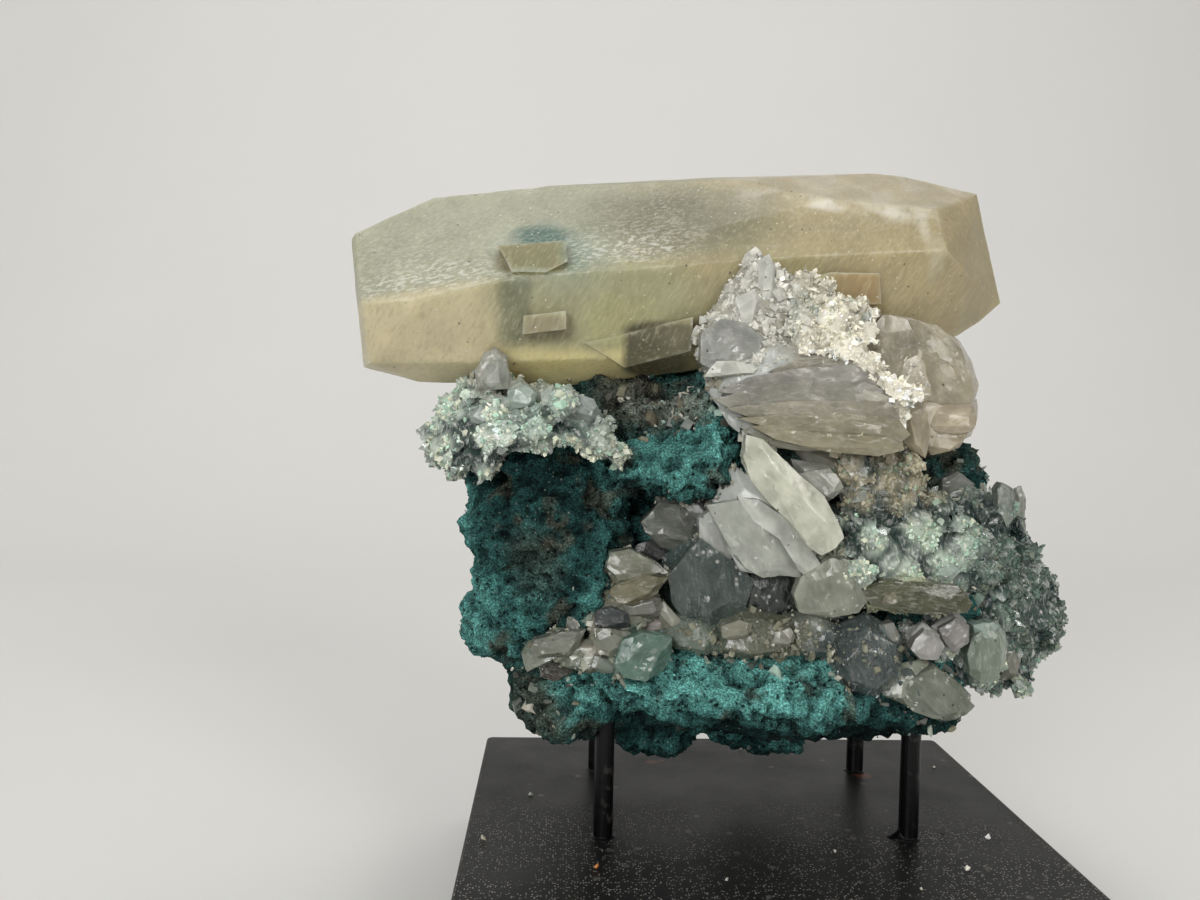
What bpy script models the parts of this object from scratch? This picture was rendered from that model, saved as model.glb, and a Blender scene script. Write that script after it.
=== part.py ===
"""Calcite specimen on a pinned display base, modelled in metres with +Z up.

The underside of the base is centred on the origin and the show face looks along -Y.
Shapes are given in millimetres and scaled once, where their meshes are made.
"""

import math
import random

import bmesh
import bpy
import numpy as np
from mathutils import Euler, Matrix, Vector, noise

MM = 0.001

# Display base and its four pins
BASE_WIDTH = 101.6
BASE_DEPTH = 76.2
BASE_THICKNESS = 19.0
BASE_CORNER = 1.2
BASE_EDGE = 0.5
PIN_DIAMETER = 3.4
PIN_SPREAD_X = 53.6
PIN_SPREAD_Y = 32.2
PIN_CENTRE = (-0.2, 2.2)
PIN_TOP = 43.0
PIN_BOTTOM = 9.0

# Clearance that separate pieces keep where they meet
GAP = 0.3

# Rock surface
ROCK_VOXEL = 1.5
ROCK_TRIANGLES = 1800
ROCK_SWELL = 2.2
ROCK_SWELL_SIZE = 13.0
ROCK_ROUGHNESS = 1.1
ROCK_ROUGHNESS_SIZE = 4.5
ROCK_FLATNESS = 5.0

# Crystals: size of the front face and of the buried root beside the outline
FRONT_FACE_SIZE = 0.66
ROOT_SIZE = 0.7

# Small blocks: slant and length of one block, and how far it strays from its place
BLOCK_SLANT = (0.1, 0.35)
BLOCK_LENGTH = (0.9, 1.5)
BLOCK_STRAY = ((-2.6, 2.6), (-0.6, 0.9), (-2.0, 2.0))

# Corners whose faces lie flatter than this keep their place along the flat direction
FLAT_CORNER = 0.12

# Lobes of the rock: centre and half sizes
ROCK_LOBES = (
    ((-36.5, -4, 72.5), (16, 19, 15)),
    ((-37.5, -4, 57), (15, 18, 12)),
    ((-31, -2, 44), (13, 18, 8.5)),
    ((-40, -1, 84), (14.5, 17, 10)),
    ((-32, -9, 64), (9, 16, 12)),
    ((-22, 5, 86), (18, 19, 14)),
    ((-27, 2, 93), (21, 14, 9)),
    ((-17, -13, 82.5), (10, 13, 6)),
    ((-11, -13, 87), (7, 12.5, 8.5)),
    ((-9, -8, 95), (7, 12, 6)),
    ((-6, 8, 62), (34, 24, 27)),
    ((-4, -13, 47), (28, 18, 8)),
    ((21, -7, 44.5), (19, 17, 8.5)),
    ((8, 4, 84), (20, 20, 14)),
    ((19, 6, 94), (14, 13, 12)),
    ((30, 2, 62), (19, 18, 17)),
    ((33, 4, 80), (10, 13, 9)),
    ((40, 4, 57), (13, 15, 12)),
    ((-12, 20, 66), (32, 14, 26)),
    ((20, 18, 58), (25, 14, 21)),
    ((-24, 20, 47), (14, 11, 10)),
    ((-17, 1, 37), (7, 8, 8)),
    ((4, 6, 35), (11, 9, 9)),
)

# Big calcite crystal: points of its faces, named by the edge they lie on
CALCITE_FRONT_RIDGE = (
    (-69, -16, 110), (-59, -19, 110.5), (-45, -19.5, 114), (-16.5, -18, 117.5), (3.5, -18, 119), (29, -16, 121),
)
CALCITE_FROSTED_EDGE = ((-4.5, -6, 134), (11, -11, 130), (28.5, -12, 128.5))
CALCITE_TOP_EDGE = (
    (-73, -5, 122), (-72.2, -6, 122.8), (-63.5, -4, 127.5), (-59, -3, 130), (-51, -3, 131), (-39.5, -3, 132.5),
    (-11.5, -2, 135), (9.5, 0, 136.5), (21.5, 3, 138), (28, 3, 137.5), (32.5, 2, 135.7), (40.5, 0, 134),
)
CALCITE_RIGHT_END = (
    (43, 2, 127.5), (46, 3, 118.5), (47, 3, 114.5), (34, -12, 118), (42, 0, 110.5), (36, -4, 107.5),
)
CALCITE_BOTTOM = (
    (-68, -14, 100), (-51, -14.5, 100.5), (-29, -14.5, 101.5), (20, -11, 105), (5.5, -12, 104),
    (-60.5, -8, 97), (-43.5, -8, 97), (-34, -8, 97), (-20, -8, 99),
)
CALCITE_LEFT_END = ((-72, -8, 117.5), (-70.3, -12, 109.5), (-69.4, -9, 107), (-70, -8, 99.5))
CALCITE_BACK = (
    (-66, 9, 114), (-50, 14, 115), (-10, 16, 118), (22, 15, 121), (39, 10, 119),
    (-60, 6, 125), (-20, 8, 132), (20, 10, 135), (36, 7, 131),
    (-64, 5, 100), (-20, 8, 100), (20, 8, 105), (36, 4, 109),
)

# Growth steps that stand out from the calcite's faces: outline and how far back they reach
CALCITE_STEPS = (
    (((-46.5, -18.2, 119.5), (-35.5, -18.2, 120.5), (-35, -19.6, 117), (-38.5, -20.2, 115), (-44, -20.2, 115)), 8),
    (((-42, -19.2, 108), (-35, -19.2, 109), (-35, -19.2, 106), (-42, -19.2, 105)), 8),
    (((5.5, -18.2, 115.5), (9, -18.2, 116.5), (17, -18.2, 116.5), (17.5, -18, 111.5), (6.5, -18, 111)), 8),
    (((-32, -16.6, 104), (-25, -18, 105.5), (-14, -18.4, 108.5), (-14, -17, 103), (-25, -15, 100)), 8),
)

# Clusters of crystals.  A crystal is the outline of its front, how far its front
# face stands forward of that outline and how deep it goes.
FAN_CRYSTALS = (
    (((-13, -20, 104), (-9.5, -19, 107), (-3.5, -21, 107.5), (11, -22, 102.5), (14.5, -24, 99.5),
      (18.5, -25, 95.5), (19.5, -24, 89), (13.5, -25, 87), (2, -25, 87), (-4, -25, 87.5),
      (-8.5, -24, 91), (-12, -22, 96.5)), 3.0, 14),
    (((-14, -20, 102), (-12, -20, 106), (6, -24, 105), (13, -25, 101), (11, -25, 98), (-4, -24, 99)), 1.6, 10),
    (((-12, -22, 99.5), (-2, -25, 100), (12, -26, 99), (18, -27, 95.5), (18.5, -26, 92), (4, -26, 94)), 1.8, 10),
    (((-10, -23, 96), (2, -26, 95), (16, -27, 92.5), (19, -26.5, 89.5), (13, -27, 87), (3, -26.5, 88),
      (-6, -25, 91)), 1.8, 10),
    (((-14, -18, 104.5), (-12, -18, 108), (-7, -19, 114), (-4.5, -19, 119.5), (0, -20, 117), (3, -21, 114),
      (1, -23, 105.5), (-6.5, -22, 104)), 2.0, 8),
    (((16.5, -15, 108), (19, -16, 110), (23.5, -16, 109.5), (29, -15, 108), (33, -13, 106), (36, -11, 103),
      (38, -10, 98.5), (36.5, -12, 95.5), (24, -18, 93), (17, -20, 94)), 3.5, 12),
    (((18, -19, 95.5), (26, -18, 96.5), (37, -12, 96), (38, -10, 93), (36.5, -11, 89.5), (30, -14, 87),
      (24.5, -17, 86.5), (19, -20, 87.5)), 3.0, 12),
    (((27, -15, 98), (35, -12, 98), (37.6, -10, 95.5), (37.8, -10, 92), (34, -13, 90), (28, -16, 91)), 2.0, 8),
)
BLADE_CRYSTALS = (
    (((-6.5, -24.5, 90), (-1, -26, 86.5), (3, -27, 83), (6.5, -27.5, 79.5), (8.6, -27, 76), (9.4, -26.5, 73),
      (8, -26.5, 71.8), (4.8, -26.5, 71.2), (3, -26.5, 72.8), (0, -27, 77), (-4.5, -26.5, 81.5),
      (-6.5, -25, 85)), 2.2, 9),
    (((-8, -22, 85), (-2, -24.5, 80.5), (3, -25.5, 74.5), (5.7, -25.5, 70.5), (6.6, -25, 68.2), (5, -25, 66.6),
      (-2.5, -24.5, 66.6), (-6, -24, 67.3), (-9, -23, 72), (-10.5, -22, 78)), 1.8, 10),
    (((-13, -20, 75), (-9, -21.5, 78), (-6.2, -22, 72), (-7.8, -21.5, 68.3), (-10.5, -21, 69.8),
      (-12.6, -20, 72)), 1.4, 9),
    (((-19.5, -16.5, 78.5), (-12, -18, 79.5), (-9.5, -19, 76.5), (-12, -18, 71.3), (-14, -17, 69.8),
      (-18, -16, 70.6)), 1.6, 9),
    (((2, -22.5, 85.5), (8, -24, 84.8), (10.6, -24, 80.5), (8, -23.5, 78.5), (4, -23, 80)), 1.6, 9),
)
RIGHT_CRYSTALS = (
    (((8, -22, 70), (12, -23, 76.5), (20, -22, 77.5), (27, -20, 79.5), (27, -22, 66), (18, -24, 63),
      (9, -24, 62)), 2.5, 14),
    (((24, -19, 66), (26, -19, 79.5), (34.5, -16, 80), (43, -10, 79), (48, -7, 73), (47, -11, 64),
      (36, -17, 62)), 3.0, 12),
    (((36, -14, 66), (48, -6, 72), (53, -3, 68), (55.5, -3, 61), (58.8, -3, 59), (58, -4, 56), (50, -9, 52),
      (38, -15, 53)), 3.0, 12),
    (((32, -15, 56), (44, -12, 58), (55.5, -4, 54), (54.4, -4, 49.5), (52.8, -4, 46.8), (47.3, -5, 44.6),
      (43, -8, 43.2), (34, -13, 45)), 3.0, 11),
    (((13.4, -26, 66), (19, -26.5, 66.7), (25, -25.5, 66.7), (28.5, -24.5, 65.2), (31, -23, 62.5), (31, -23, 60.4),
      (22, -25, 61.2), (14, -26, 61.3)), 1.6, 9),
    (((34, -19, 55), (35, -19, 58), (39.5, -17, 58.2), (42.2, -16, 55), (41.6, -16, 49.5), (38.5, -17, 47.3),
      (34, -19, 51)), 2.0, 9),
    (((22.8, -22.5, 56.7), (24.6, -23, 59), (27.6, -23, 57.2), (27.2, -23, 53.8), (24.3, -22.5, 52.8)), 1.6, 8),
    (((26.6, -21.5, 58), (29.6, -21.5, 60.8), (33.2, -20.5, 59.2), (33.2, -20.5, 55.2), (29.5, -21.5, 53.5)), 1.6, 9),
    (((10, -20, 84), (21, -18, 87), (25.5, -18, 83), (26, -20, 76), (19.5, -22, 75), (10.5, -22, 76.5)), 2.0, 10),
    (((47, -6, 80.2), (48.3, -5.5, 80.4), (49.2, -5, 79), (49.8, -5, 72), (47.5, -6, 70)), 0.8, 4),
)
LOWER_CRYSTALS = (
    (((-18.3, -18.5, 68.5), (-14, -19.5, 72), (-8.5, -19.5, 71), (-5, -19.5, 68), (-5.6, -20.5, 61.5),
      (-10, -20.5, 58.3), (-15.5, -19.5, 58.3), (-18.4, -18.5, 61.5)), 2.8, 12),
    (((-7, -18.5, 67.5), (4, -19.5, 67.5), (6, -20, 61.5), (-1, -20.5, 59.3), (-7, -19.5, 61)), 1.8, 10),
    (((3.2, -22.5, 67.5), (6.5, -23.5, 71), (12, -23.5, 70), (14.8, -24.5, 66.5), (14.3, -24.5, 61.3),
      (9.5, -24.5, 59.4), (4.2, -23.5, 59.4)), 2.6, 12),
    (((-10, -22.5, 59.5), (-3.5, -23, 61.3), (3, -24, 59.5), (2.4, -25.5, 54.2), (-5, -25.5, 53.2),
      (-11, -24, 53.8)), 2.2, 10),
    (((10.5, -24.5, 59), (14.5, -24.5, 61), (20.8, -24.5, 57.4), (20.4, -25.5, 50.2), (16, -26.5, 47.2),
      (10.3, -27, 49.2), (8.6, -26.5, 54)), 2.4, 12),
    (((1, -23.5, 60.5), (6, -24, 61), (11, -25.5, 58), (9, -26, 53.5), (2, -25, 54)), 1.6, 9),
    (((18, -24, 52), (25, -23.5, 53), (30.2, -22.5, 49.7), (34.2, -20.5, 46.2), (33.7, -20.5, 43.8),
      (30.5, -21.5, 42.4), (26, -23.5, 43.5), (17, -25, 47.5)), 2.4, 5),
    (((-19, -22, 60), (-12.5, -23, 60), (-8, -24, 57), (-11, -25, 53.6), (-16.5, -25, 54.6), (-19.5, -24, 57)), 1.8, 9),
)
LEFT_LOWER_CRYSTALS = (
    (((-27.2, -22, 68.7), (-24, -23, 70.8), (-20.6, -23, 68.6), (-17.2, -23, 66.6), (-19.8, -24, 63.8),
      (-23.5, -24.5, 62), (-26.2, -24, 61.2), (-27.8, -23, 64)), 2.2, 9),
    (((-28, -22.5, 64), (-22, -24, 63), (-20, -24.5, 59), (-24, -25, 56.5), (-30.4, -24.5, 57), (-30.5, -23.5, 61)), 1.6, 9),
    (((-30.4, -24, 57.7), (-26.5, -24.5, 59), (-24.4, -25, 56.6), (-25.8, -26, 53.2), (-29.9, -25, 53)), 2.0, 8),
    (((-26.6, -25.5, 55), (-22.5, -26, 57.4), (-18.8, -26, 56.8), (-17, -26, 54.5), (-18.8, -27, 52.2),
      (-21.5, -27, 50.5), (-25.8, -27, 50), (-27.4, -26, 52.5)), 2.4, 10),
    (((-34, -23.5, 55.5), (-29, -24.5, 56), (-26, -25.5, 52.5), (-30, -25.5, 50.5), (-35, -24, 51.5)), 1.4, 8),
    (((-40.2, -21.5, 55), (-35.5, -22, 57.4), (-31.2, -22, 57.9), (-31.2, -22.8, 55.3), (-33.3, -24, 53.6),
      (-37.5, -24, 51.6), (-40.3, -23, 50), (-41.4, -22, 53)), 2.2, 9),
)
TOP_LEFT_CRYSTALS = (
    (((-52, -10, 97), (-56.5, -9, 93.4), (-57, -8, 90), (-58.2, -8, 87), (-59.6, -8, 84.3), (-54, -11, 80.8),
      (-50, -16, 83), (-46, -18, 92), (-47, -14, 96.5)), 3.0, 16),
    (((-54, -14, 91), (-55, -13, 85), (-51.5, -18, 81.5), (-47.5, -20, 81.3), (-44, -22, 86), (-42, -20, 94),
      (-48, -16, 95.5)), 3.0, 14),
    (((-48, -19, 93), (-46.5, -22, 84.6), (-42, -25, 87.6), (-36, -26, 89), (-33, -25, 88), (-34, -18, 95.3),
      (-42.5, -15, 96)), 2.8, 12),
    (((-38, -21, 94), (-36, -25.5, 89), (-29.5, -26, 86.3), (-26, -25.5, 83.8), (-25.2, -25, 86),
      (-29, -22, 91), (-33, -18, 95)), 2.4, 10),
    (((-48.3, -17, 102), (-46.5, -17, 103), (-44.6, -17, 101.3), (-43.4, -17, 96), (-50, -16, 95.5),
      (-49.8, -16.6, 99)), 0.8, 5),
    (((-45, -17, 97), (-42.5, -17, 98), (-39, -18, 95.7), (-40, -20, 91.8), (-44, -20, 92)), 1.6, 8),
    (((-38.8, -16, 97.5), (-35, -16, 96), (-35, -18, 92.6), (-38, -18, 92.6), (-40.3, -17, 95)), 1.6, 8),
)
WHITE_DRUSE_CRYSTALS = (
    (((-1.2, -19.5, 114), (3, -19.5, 115.5), (7, -20, 113), (5, -23, 104), (0, -23, 104.5), (-1.8, -22, 108)), 1.8, 6),
    (((3, -20, 113), (7, -20.5, 114), (10, -20.5, 113.4), (12.7, -20.5, 111.4), (12, -23, 104), (4, -24, 104)), 1.8, 6),
    (((9, -20.5, 112), (12.5, -20.5, 111.3), (17.2, -19.5, 110.3), (16.2, -20.5, 108), (13, -21.5, 106),
      (9, -22.5, 105)), 1.6, 6),
    (((1.5, -24, 105.5), (8, -23, 106.5), (13, -22.5, 106.5), (13.7, -23.5, 104), (13.2, -24.5, 101.5),
      (9, -25.5, 101.8), (2, -25.5, 102.2)), 1.4, 6),
    (((9.5, -24, 103.5), (13.6, -23.5, 104), (16.8, -25, 99), (19.8, -25, 95), (19.8, -24.5, 90), (18.2, -25, 90),
      (16, -26, 96), (11.5, -25.5, 100.5)), 1.0, 5),
)

# Small blocky crystals strewn over a cluster: how many, size range and where they sit
DRUSE_BLOCKS = {
    "white_druse": (18, (1.6, 3.2), ((-1, -21.5, 113), (6, -22.2, 112), (14, -21.8, 109.5), (3, -24.5, 105.5),
                                     (10, -24.8, 105), (12.5, -25.8, 102.5), (17, -26.2, 98), (19, -25.8, 92.5))),
    "right_druse": (30, (2.2, 4.2), ((14, -24.5, 74), (20, -23.5, 76.5), (27, -21.5, 77), (33, -18.5, 77.5),
                                     (40, -14.5, 76), (45, -11, 72), (48, -8.5, 66), (53, -6, 61), (54, -6.5, 55),
                                     (50, -8.5, 49), (45, -10.5, 47), (35, -18.5, 69), (40, -15.5, 64),
                                     (12, -25.5, 70), (15, -22, 82), (21, -20.5, 84), (52, 1, 58), (49, 3, 66))),
    "top_left_druse": (18, (2.0, 4.0), ((-52, -12.5, 92), (-56, -9.5, 87), (-49, -20, 85), (-43, -23.5, 89.5),
                                        (-36, -24, 91.5), (-30, -24.5, 88.5), (-50, -15.5, 94), (-42, -19, 94))),
}

random.seed(11)


def linked(name, mesh):
    """Add a mesh to the scene as an object of that name."""
    item = bpy.data.objects.new(name, mesh)
    bpy.context.scene.collection.objects.link(item)
    return item


def removed(item):
    """Take an object and its mesh out of the file."""
    mesh = item.data
    bpy.data.objects.remove(item, do_unlink=True)
    bpy.data.meshes.remove(mesh)


def finished(item):
    """Replace an object's mesh by what its modifiers give."""
    graph = bpy.context.evaluated_depsgraph_get()
    mesh = bpy.data.meshes.new_from_object(item.evaluated_get(graph))
    old = item.data
    item.modifiers.clear()
    item.data = mesh
    bpy.data.meshes.remove(old)
    return item


def combined(item, other, operation):
    """Apply one exact boolean between two objects."""
    modifier = item.modifiers.new("boolean", "BOOLEAN")
    modifier.operation = operation
    modifier.solver = "EXACT"
    modifier.object = other
    return finished(item)


def largest_body(item, flatness=0.0):
    """Keep the largest closed body of a mesh, drop loose chips and merge flat stretches if asked to."""
    shape = bmesh.new()
    shape.from_mesh(item.data)
    bmesh.ops.remove_doubles(shape, verts=shape.verts, dist=0.02 * MM)
    waiting = set(shape.verts)
    bodies = []
    while waiting:
        body = {waiting.pop()}
        edge = list(body)
        while edge:
            near = {link.other_vert(vert) for vert in edge for link in vert.link_edges} - body
            body |= near
            edge = list(near)
        waiting -= body
        bodies.append(body)
    bodies.sort(key=len)
    chips = [vert for body in bodies[:-1] for vert in body]
    bmesh.ops.delete(shape, geom=chips, context="VERTS")
    if flatness:
        bmesh.ops.dissolve_limit(shape, angle_limit=math.radians(flatness), verts=shape.verts, edges=shape.edges)
    bmesh.ops.triangulate(shape, faces=shape.faces)
    bmesh.ops.recalc_face_normals(shape, faces=shape.faces)
    shape.to_mesh(item.data)
    shape.free()
    return item


def hull(name, points):
    """Make the convex solid around points given in millimetres."""
    shape = bmesh.new()
    for point in points:
        shape.verts.new(Vector(point) * MM)
    bmesh.ops.convex_hull(shape, input=shape.verts, use_existing_faces=False)
    inside = [vert for vert in shape.verts if not vert.link_faces]
    bmesh.ops.delete(shape, geom=inside, context="VERTS")
    bmesh.ops.recalc_face_normals(shape, faces=shape.faces)
    mesh = bpy.data.meshes.new(name)
    shape.to_mesh(mesh)
    shape.free()
    return linked(name, mesh)


def swollen(item, distance):
    """Copy a convex solid with each face moved outwards by a distance."""
    mesh = item.data
    normals = {vert.index: [] for vert in mesh.vertices}
    for polygon in mesh.polygons:
        for index in polygon.vertices:
            normals[index].append(tuple(polygon.normal))
    points = []
    for vert in mesh.vertices:
        facing = np.array(normals[vert.index])
        shift = np.linalg.pinv(facing, rcond=FLAT_CORNER) @ np.full(len(facing), distance)
        points.append((np.array(vert.co) / MM + shift).tolist())
    return hull(item.name + "_pocket", points)


def crystal_points(outline, forward, depth):
    """List the points of one crystal: its outline, its front face and its buried root."""
    rim = np.array(outline, float)
    middle = rim.mean(axis=0)
    front = middle + (rim - middle) * FRONT_FACE_SIZE
    front[:, 1] -= forward
    root = middle + (rim - middle) * ROOT_SIZE
    root[:, 1] = rim[:, 1] + depth
    return np.vstack((rim, front, root)).tolist()


def block_points(centre, size):
    """List the corners of one small sheared block, turned at random."""
    turn = Euler([random.uniform(0, math.tau) for axis in range(3)]).to_matrix()
    slant = random.uniform(*BLOCK_SLANT)
    length = random.uniform(*BLOCK_LENGTH)
    corners = []
    for x in (-1, 1):
        for y in (-1, 1):
            for z in (-1, 1):
                corner = Vector((x + slant * z, y, z * length)) * size * 0.5
                corners.append(tuple(turn @ corner + Vector(centre)))
    return corners


def cluster(name, crystals):
    """Fuse crystals that overlap into one solid, and keep their single shapes as cutters."""
    singles = [hull(name + "_crystal", crystal_points(*crystal)) for crystal in crystals]
    if name in DRUSE_BLOCKS:
        count, sizes, places = DRUSE_BLOCKS[name]
        for number in range(count):
            stray = Vector([random.uniform(*reach) for reach in BLOCK_STRAY])
            place = Vector(places[number % len(places)]) + stray
            singles.append(hull(name + "_block", block_points(place, random.uniform(*sizes))))
    whole = linked(name, singles[0].data.copy())
    for single in singles[1:]:
        combined(whole, single, "UNION")
    return largest_body(whole), singles


def big_calcite():
    """Make the long calcite crystal with the growth steps on its faces."""
    edges = (
        CALCITE_FRONT_RIDGE + CALCITE_FROSTED_EDGE + CALCITE_TOP_EDGE + CALCITE_RIGHT_END
        + CALCITE_BOTTOM + CALCITE_LEFT_END + CALCITE_BACK)
    singles = [hull("calcite_body", edges)]
    for outline, reach in CALCITE_STEPS:
        back = [(x, y + reach, z) for x, y, z in outline]
        singles.append(hull("calcite_step", list(outline) + back))
    whole = linked("calcite_crystal", singles[0].data.copy())
    for single in singles[1:]:
        combined(whole, single, "UNION")
    return largest_body(whole), singles


def carved(item, singles):
    """Cut a piece clear of the crystals that lie against it."""
    skin = np.array([vert.co for vert in item.data.vertices])
    low = skin.min(axis=0) - GAP * MM
    high = skin.max(axis=0) + GAP * MM
    for single in singles:
        points = np.array([vert.co for vert in single.data.vertices])
        if (points.min(axis=0) > high).any() or (points.max(axis=0) < low).any():
            continue
        cutter = swollen(single, GAP + 0.05)
        combined(item, cutter, "DIFFERENCE")
        removed(cutter)
    return largest_body(item)


def cylinder(name, x, y, low, high, diameter):
    """Make an upright rod between two heights."""
    shape = bmesh.new()
    place = Matrix.Translation(Vector((x, y, (low + high) / 2)) * MM)
    radius = diameter / 2 * MM
    bmesh.ops.create_cone(
        shape, cap_ends=True, segments=20, radius1=radius, radius2=radius, depth=(high - low) * MM, matrix=place)
    mesh = bpy.data.meshes.new(name)
    shape.to_mesh(mesh)
    shape.free()
    return linked(name, mesh)


def pin_places():
    """Give each pin's name and place on the base."""
    for side, x_sign in (("left", -1), ("right", 1)):
        for row, y_sign in (("front", -1), ("back", 1)):
            x = PIN_CENTRE[0] + x_sign * PIN_SPREAD_X / 2
            y = PIN_CENTRE[1] + y_sign * PIN_SPREAD_Y / 2
            yield "pin_" + row + "_" + side, x, y


def base():
    """Make the base plate with a blind hole for each pin."""
    shape = bmesh.new()
    bmesh.ops.create_cube(shape, size=1.0)
    bmesh.ops.scale(shape, vec=Vector((BASE_WIDTH, BASE_DEPTH, BASE_THICKNESS)) * MM, verts=shape.verts)
    bmesh.ops.translate(shape, vec=(0, 0, BASE_THICKNESS / 2 * MM), verts=shape.verts)
    upright = [edge for edge in shape.edges if abs(edge.verts[0].co.z - edge.verts[1].co.z) > MM]
    bmesh.ops.bevel(shape, geom=upright, offset=BASE_CORNER * MM, segments=3, affect="EDGES", profile=0.5)
    brim = [edge for edge in shape.edges if min(vert.co.z for vert in edge.verts) > (BASE_THICKNESS - 0.1) * MM]
    bmesh.ops.bevel(shape, geom=brim, offset=BASE_EDGE * MM, segments=2, affect="EDGES", profile=0.5)
    mesh = bpy.data.meshes.new("base")
    shape.to_mesh(mesh)
    shape.free()
    plate = linked("base", mesh)
    for name, x, y in pin_places():
        drill = cylinder("drill", x, y, PIN_BOTTOM - GAP, BASE_THICKNESS + 5, PIN_DIAMETER + 2 * GAP)
        combined(plate, drill, "DIFFERENCE")
        removed(drill)
    return largest_body(plate)


def rock_lobe(centre, radii):
    """Make one lumpy ellipsoid of the rock."""
    shape = bmesh.new()
    bmesh.ops.create_icosphere(shape, subdivisions=4, radius=1.0)
    for vert in shape.verts:
        place = Vector(centre) + Vector([vert.co[axis] * radii[axis] for axis in range(3)])
        swell = noise.noise(place / ROCK_SWELL_SIZE) * ROCK_SWELL
        vert.co = (place + vert.co * swell) * MM
    mesh = bpy.data.meshes.new("lobe")
    shape.to_mesh(mesh)
    shape.free()
    return linked("lobe", mesh)


def rock():
    """Melt the lobes together, roughen the skin and thin it out to flat facets."""
    whole = bmesh.new()
    for centre, radii in ROCK_LOBES:
        lobe = rock_lobe(centre, radii)
        whole.from_mesh(lobe.data)
        removed(lobe)
    mesh = bpy.data.meshes.new("matrix")
    whole.to_mesh(mesh)
    whole.free()
    body = linked("matrix", mesh)
    melt = body.modifiers.new("melt", "REMESH")
    melt.mode = "VOXEL"
    melt.voxel_size = ROCK_VOXEL * MM
    finished(body)
    shape = bmesh.new()
    shape.from_mesh(body.data)
    shape.normal_update()
    shifts = []
    for vert in shape.verts:
        grain = noise.hetero_terrain(vert.co / (ROCK_ROUGHNESS_SIZE * MM), 1.0, 2.0, 4, 0.2)
        shifts.append(vert.normal * (grain - 0.3) * ROCK_ROUGHNESS * MM)
    for vert, shift in zip(shape.verts, shifts):
        vert.co += shift
    shape.to_mesh(body.data)
    shape.free()
    thin = body.modifiers.new("thin", "DECIMATE")
    thin.ratio = ROCK_TRIANGLES / (2 * len(body.data.polygons))
    return largest_body(finished(body))


def painted(item, name, colour, roughness, metallic=0.0, transmission=0.0, ior=1.5):
    """Give an object its own plain surface."""
    material = bpy.data.materials.new(name)
    material.use_nodes = True
    surface = material.node_tree.nodes["Principled BSDF"]
    surface.inputs["Base Color"].default_value = (*colour, 1.0)
    surface.inputs["Roughness"].default_value = roughness
    surface.inputs["Metallic"].default_value = metallic
    surface.inputs["Transmission Weight"].default_value = transmission
    surface.inputs["IOR"].default_value = ior
    item.data.materials.clear()
    item.data.materials.append(material)


def main():
    """Build the specimen and sort its parts into one collection."""
    for item in list(bpy.data.objects):
        bpy.data.objects.remove(item, do_unlink=True)

    calcite, calcite_singles = big_calcite()
    blades, blade_singles = cluster("blade_crystals", BLADE_CRYSTALS)
    fan, fan_singles = cluster("fan_crystals", FAN_CRYSTALS)
    white, white_singles = cluster("white_druse", WHITE_DRUSE_CRYSTALS)
    lower, lower_singles = cluster("lower_crystals", LOWER_CRYSTALS)
    right, right_singles = cluster("right_druse", RIGHT_CRYSTALS)
    left, left_singles = cluster("left_lower_crystals", LEFT_LOWER_CRYSTALS)
    top, top_singles = cluster("top_left_druse", TOP_LEFT_CRYSTALS)

    carved(blades, calcite_singles)
    carved(fan, calcite_singles + blade_singles)
    carved(white, calcite_singles + blade_singles + fan_singles)
    carved(lower, blade_singles + fan_singles)
    carved(right, calcite_singles + blade_singles + fan_singles + white_singles + lower_singles)
    carved(left, blade_singles + lower_singles)
    carved(top, calcite_singles)

    matrix = rock()
    singles = (
        calcite_singles + blade_singles + fan_singles + white_singles
        + lower_singles + right_singles + left_singles + top_singles)
    carved(matrix, singles)

    pins = []
    for name, x, y in pin_places():
        pins.append(cylinder(name, x, y, PIN_BOTTOM, PIN_TOP, PIN_DIAMETER))
        socket = cylinder("socket", x, y, BASE_THICKNESS + 1, PIN_TOP + GAP, PIN_DIAMETER + 2 * GAP)
        combined(matrix, socket, "DIFFERENCE")
        removed(socket)
    largest_body(matrix, ROCK_FLATNESS)
    plate = base()

    painted(plate, "satin_black_base", (0.035, 0.036, 0.038), 0.42)
    for pin in pins:
        painted(pin, "black_pin", (0.012, 0.012, 0.013), 0.38)
    painted(matrix, "teal_rock", (0.07, 0.2, 0.2), 0.92)
    painted(calcite, "honey_calcite", (0.52, 0.47, 0.31), 0.35, transmission=0.55, ior=1.6)
    painted(fan, "grey_quartz", (0.45, 0.43, 0.38), 0.3, transmission=0.5, ior=1.54)
    painted(blades, "pale_quartz", (0.62, 0.62, 0.57), 0.3, transmission=0.4, ior=1.54)
    painted(white, "white_quartz", (0.8, 0.79, 0.75), 0.35, transmission=0.3, ior=1.54)
    painted(lower, "smoky_quartz", (0.3, 0.32, 0.33), 0.3, transmission=0.5, ior=1.54)
    painted(right, "mint_quartz", (0.48, 0.56, 0.5), 0.4, transmission=0.3, ior=1.54)
    painted(left, "beige_quartz", (0.42, 0.44, 0.37), 0.4, transmission=0.3, ior=1.54)
    painted(top, "frosted_quartz", (0.5, 0.56, 0.51), 0.5, transmission=0.2, ior=1.54)

    for single in singles:
        removed(single)
    shown = bpy.data.collections.new("calcite_specimen")
    bpy.context.scene.collection.children.link(shown)
    for item in list(bpy.context.scene.collection.objects):
        bpy.context.scene.collection.objects.unlink(item)
        shown.objects.link(item)


main()
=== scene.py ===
"""Dress the calcite specimen: rock crust, crystals, druse, display base and the studio around it.

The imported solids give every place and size.  Rock and crystals are finer surfaces worked out
from those solids with layered noise, and the small crystals and grains are strewn over them.
"""

import math

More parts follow.
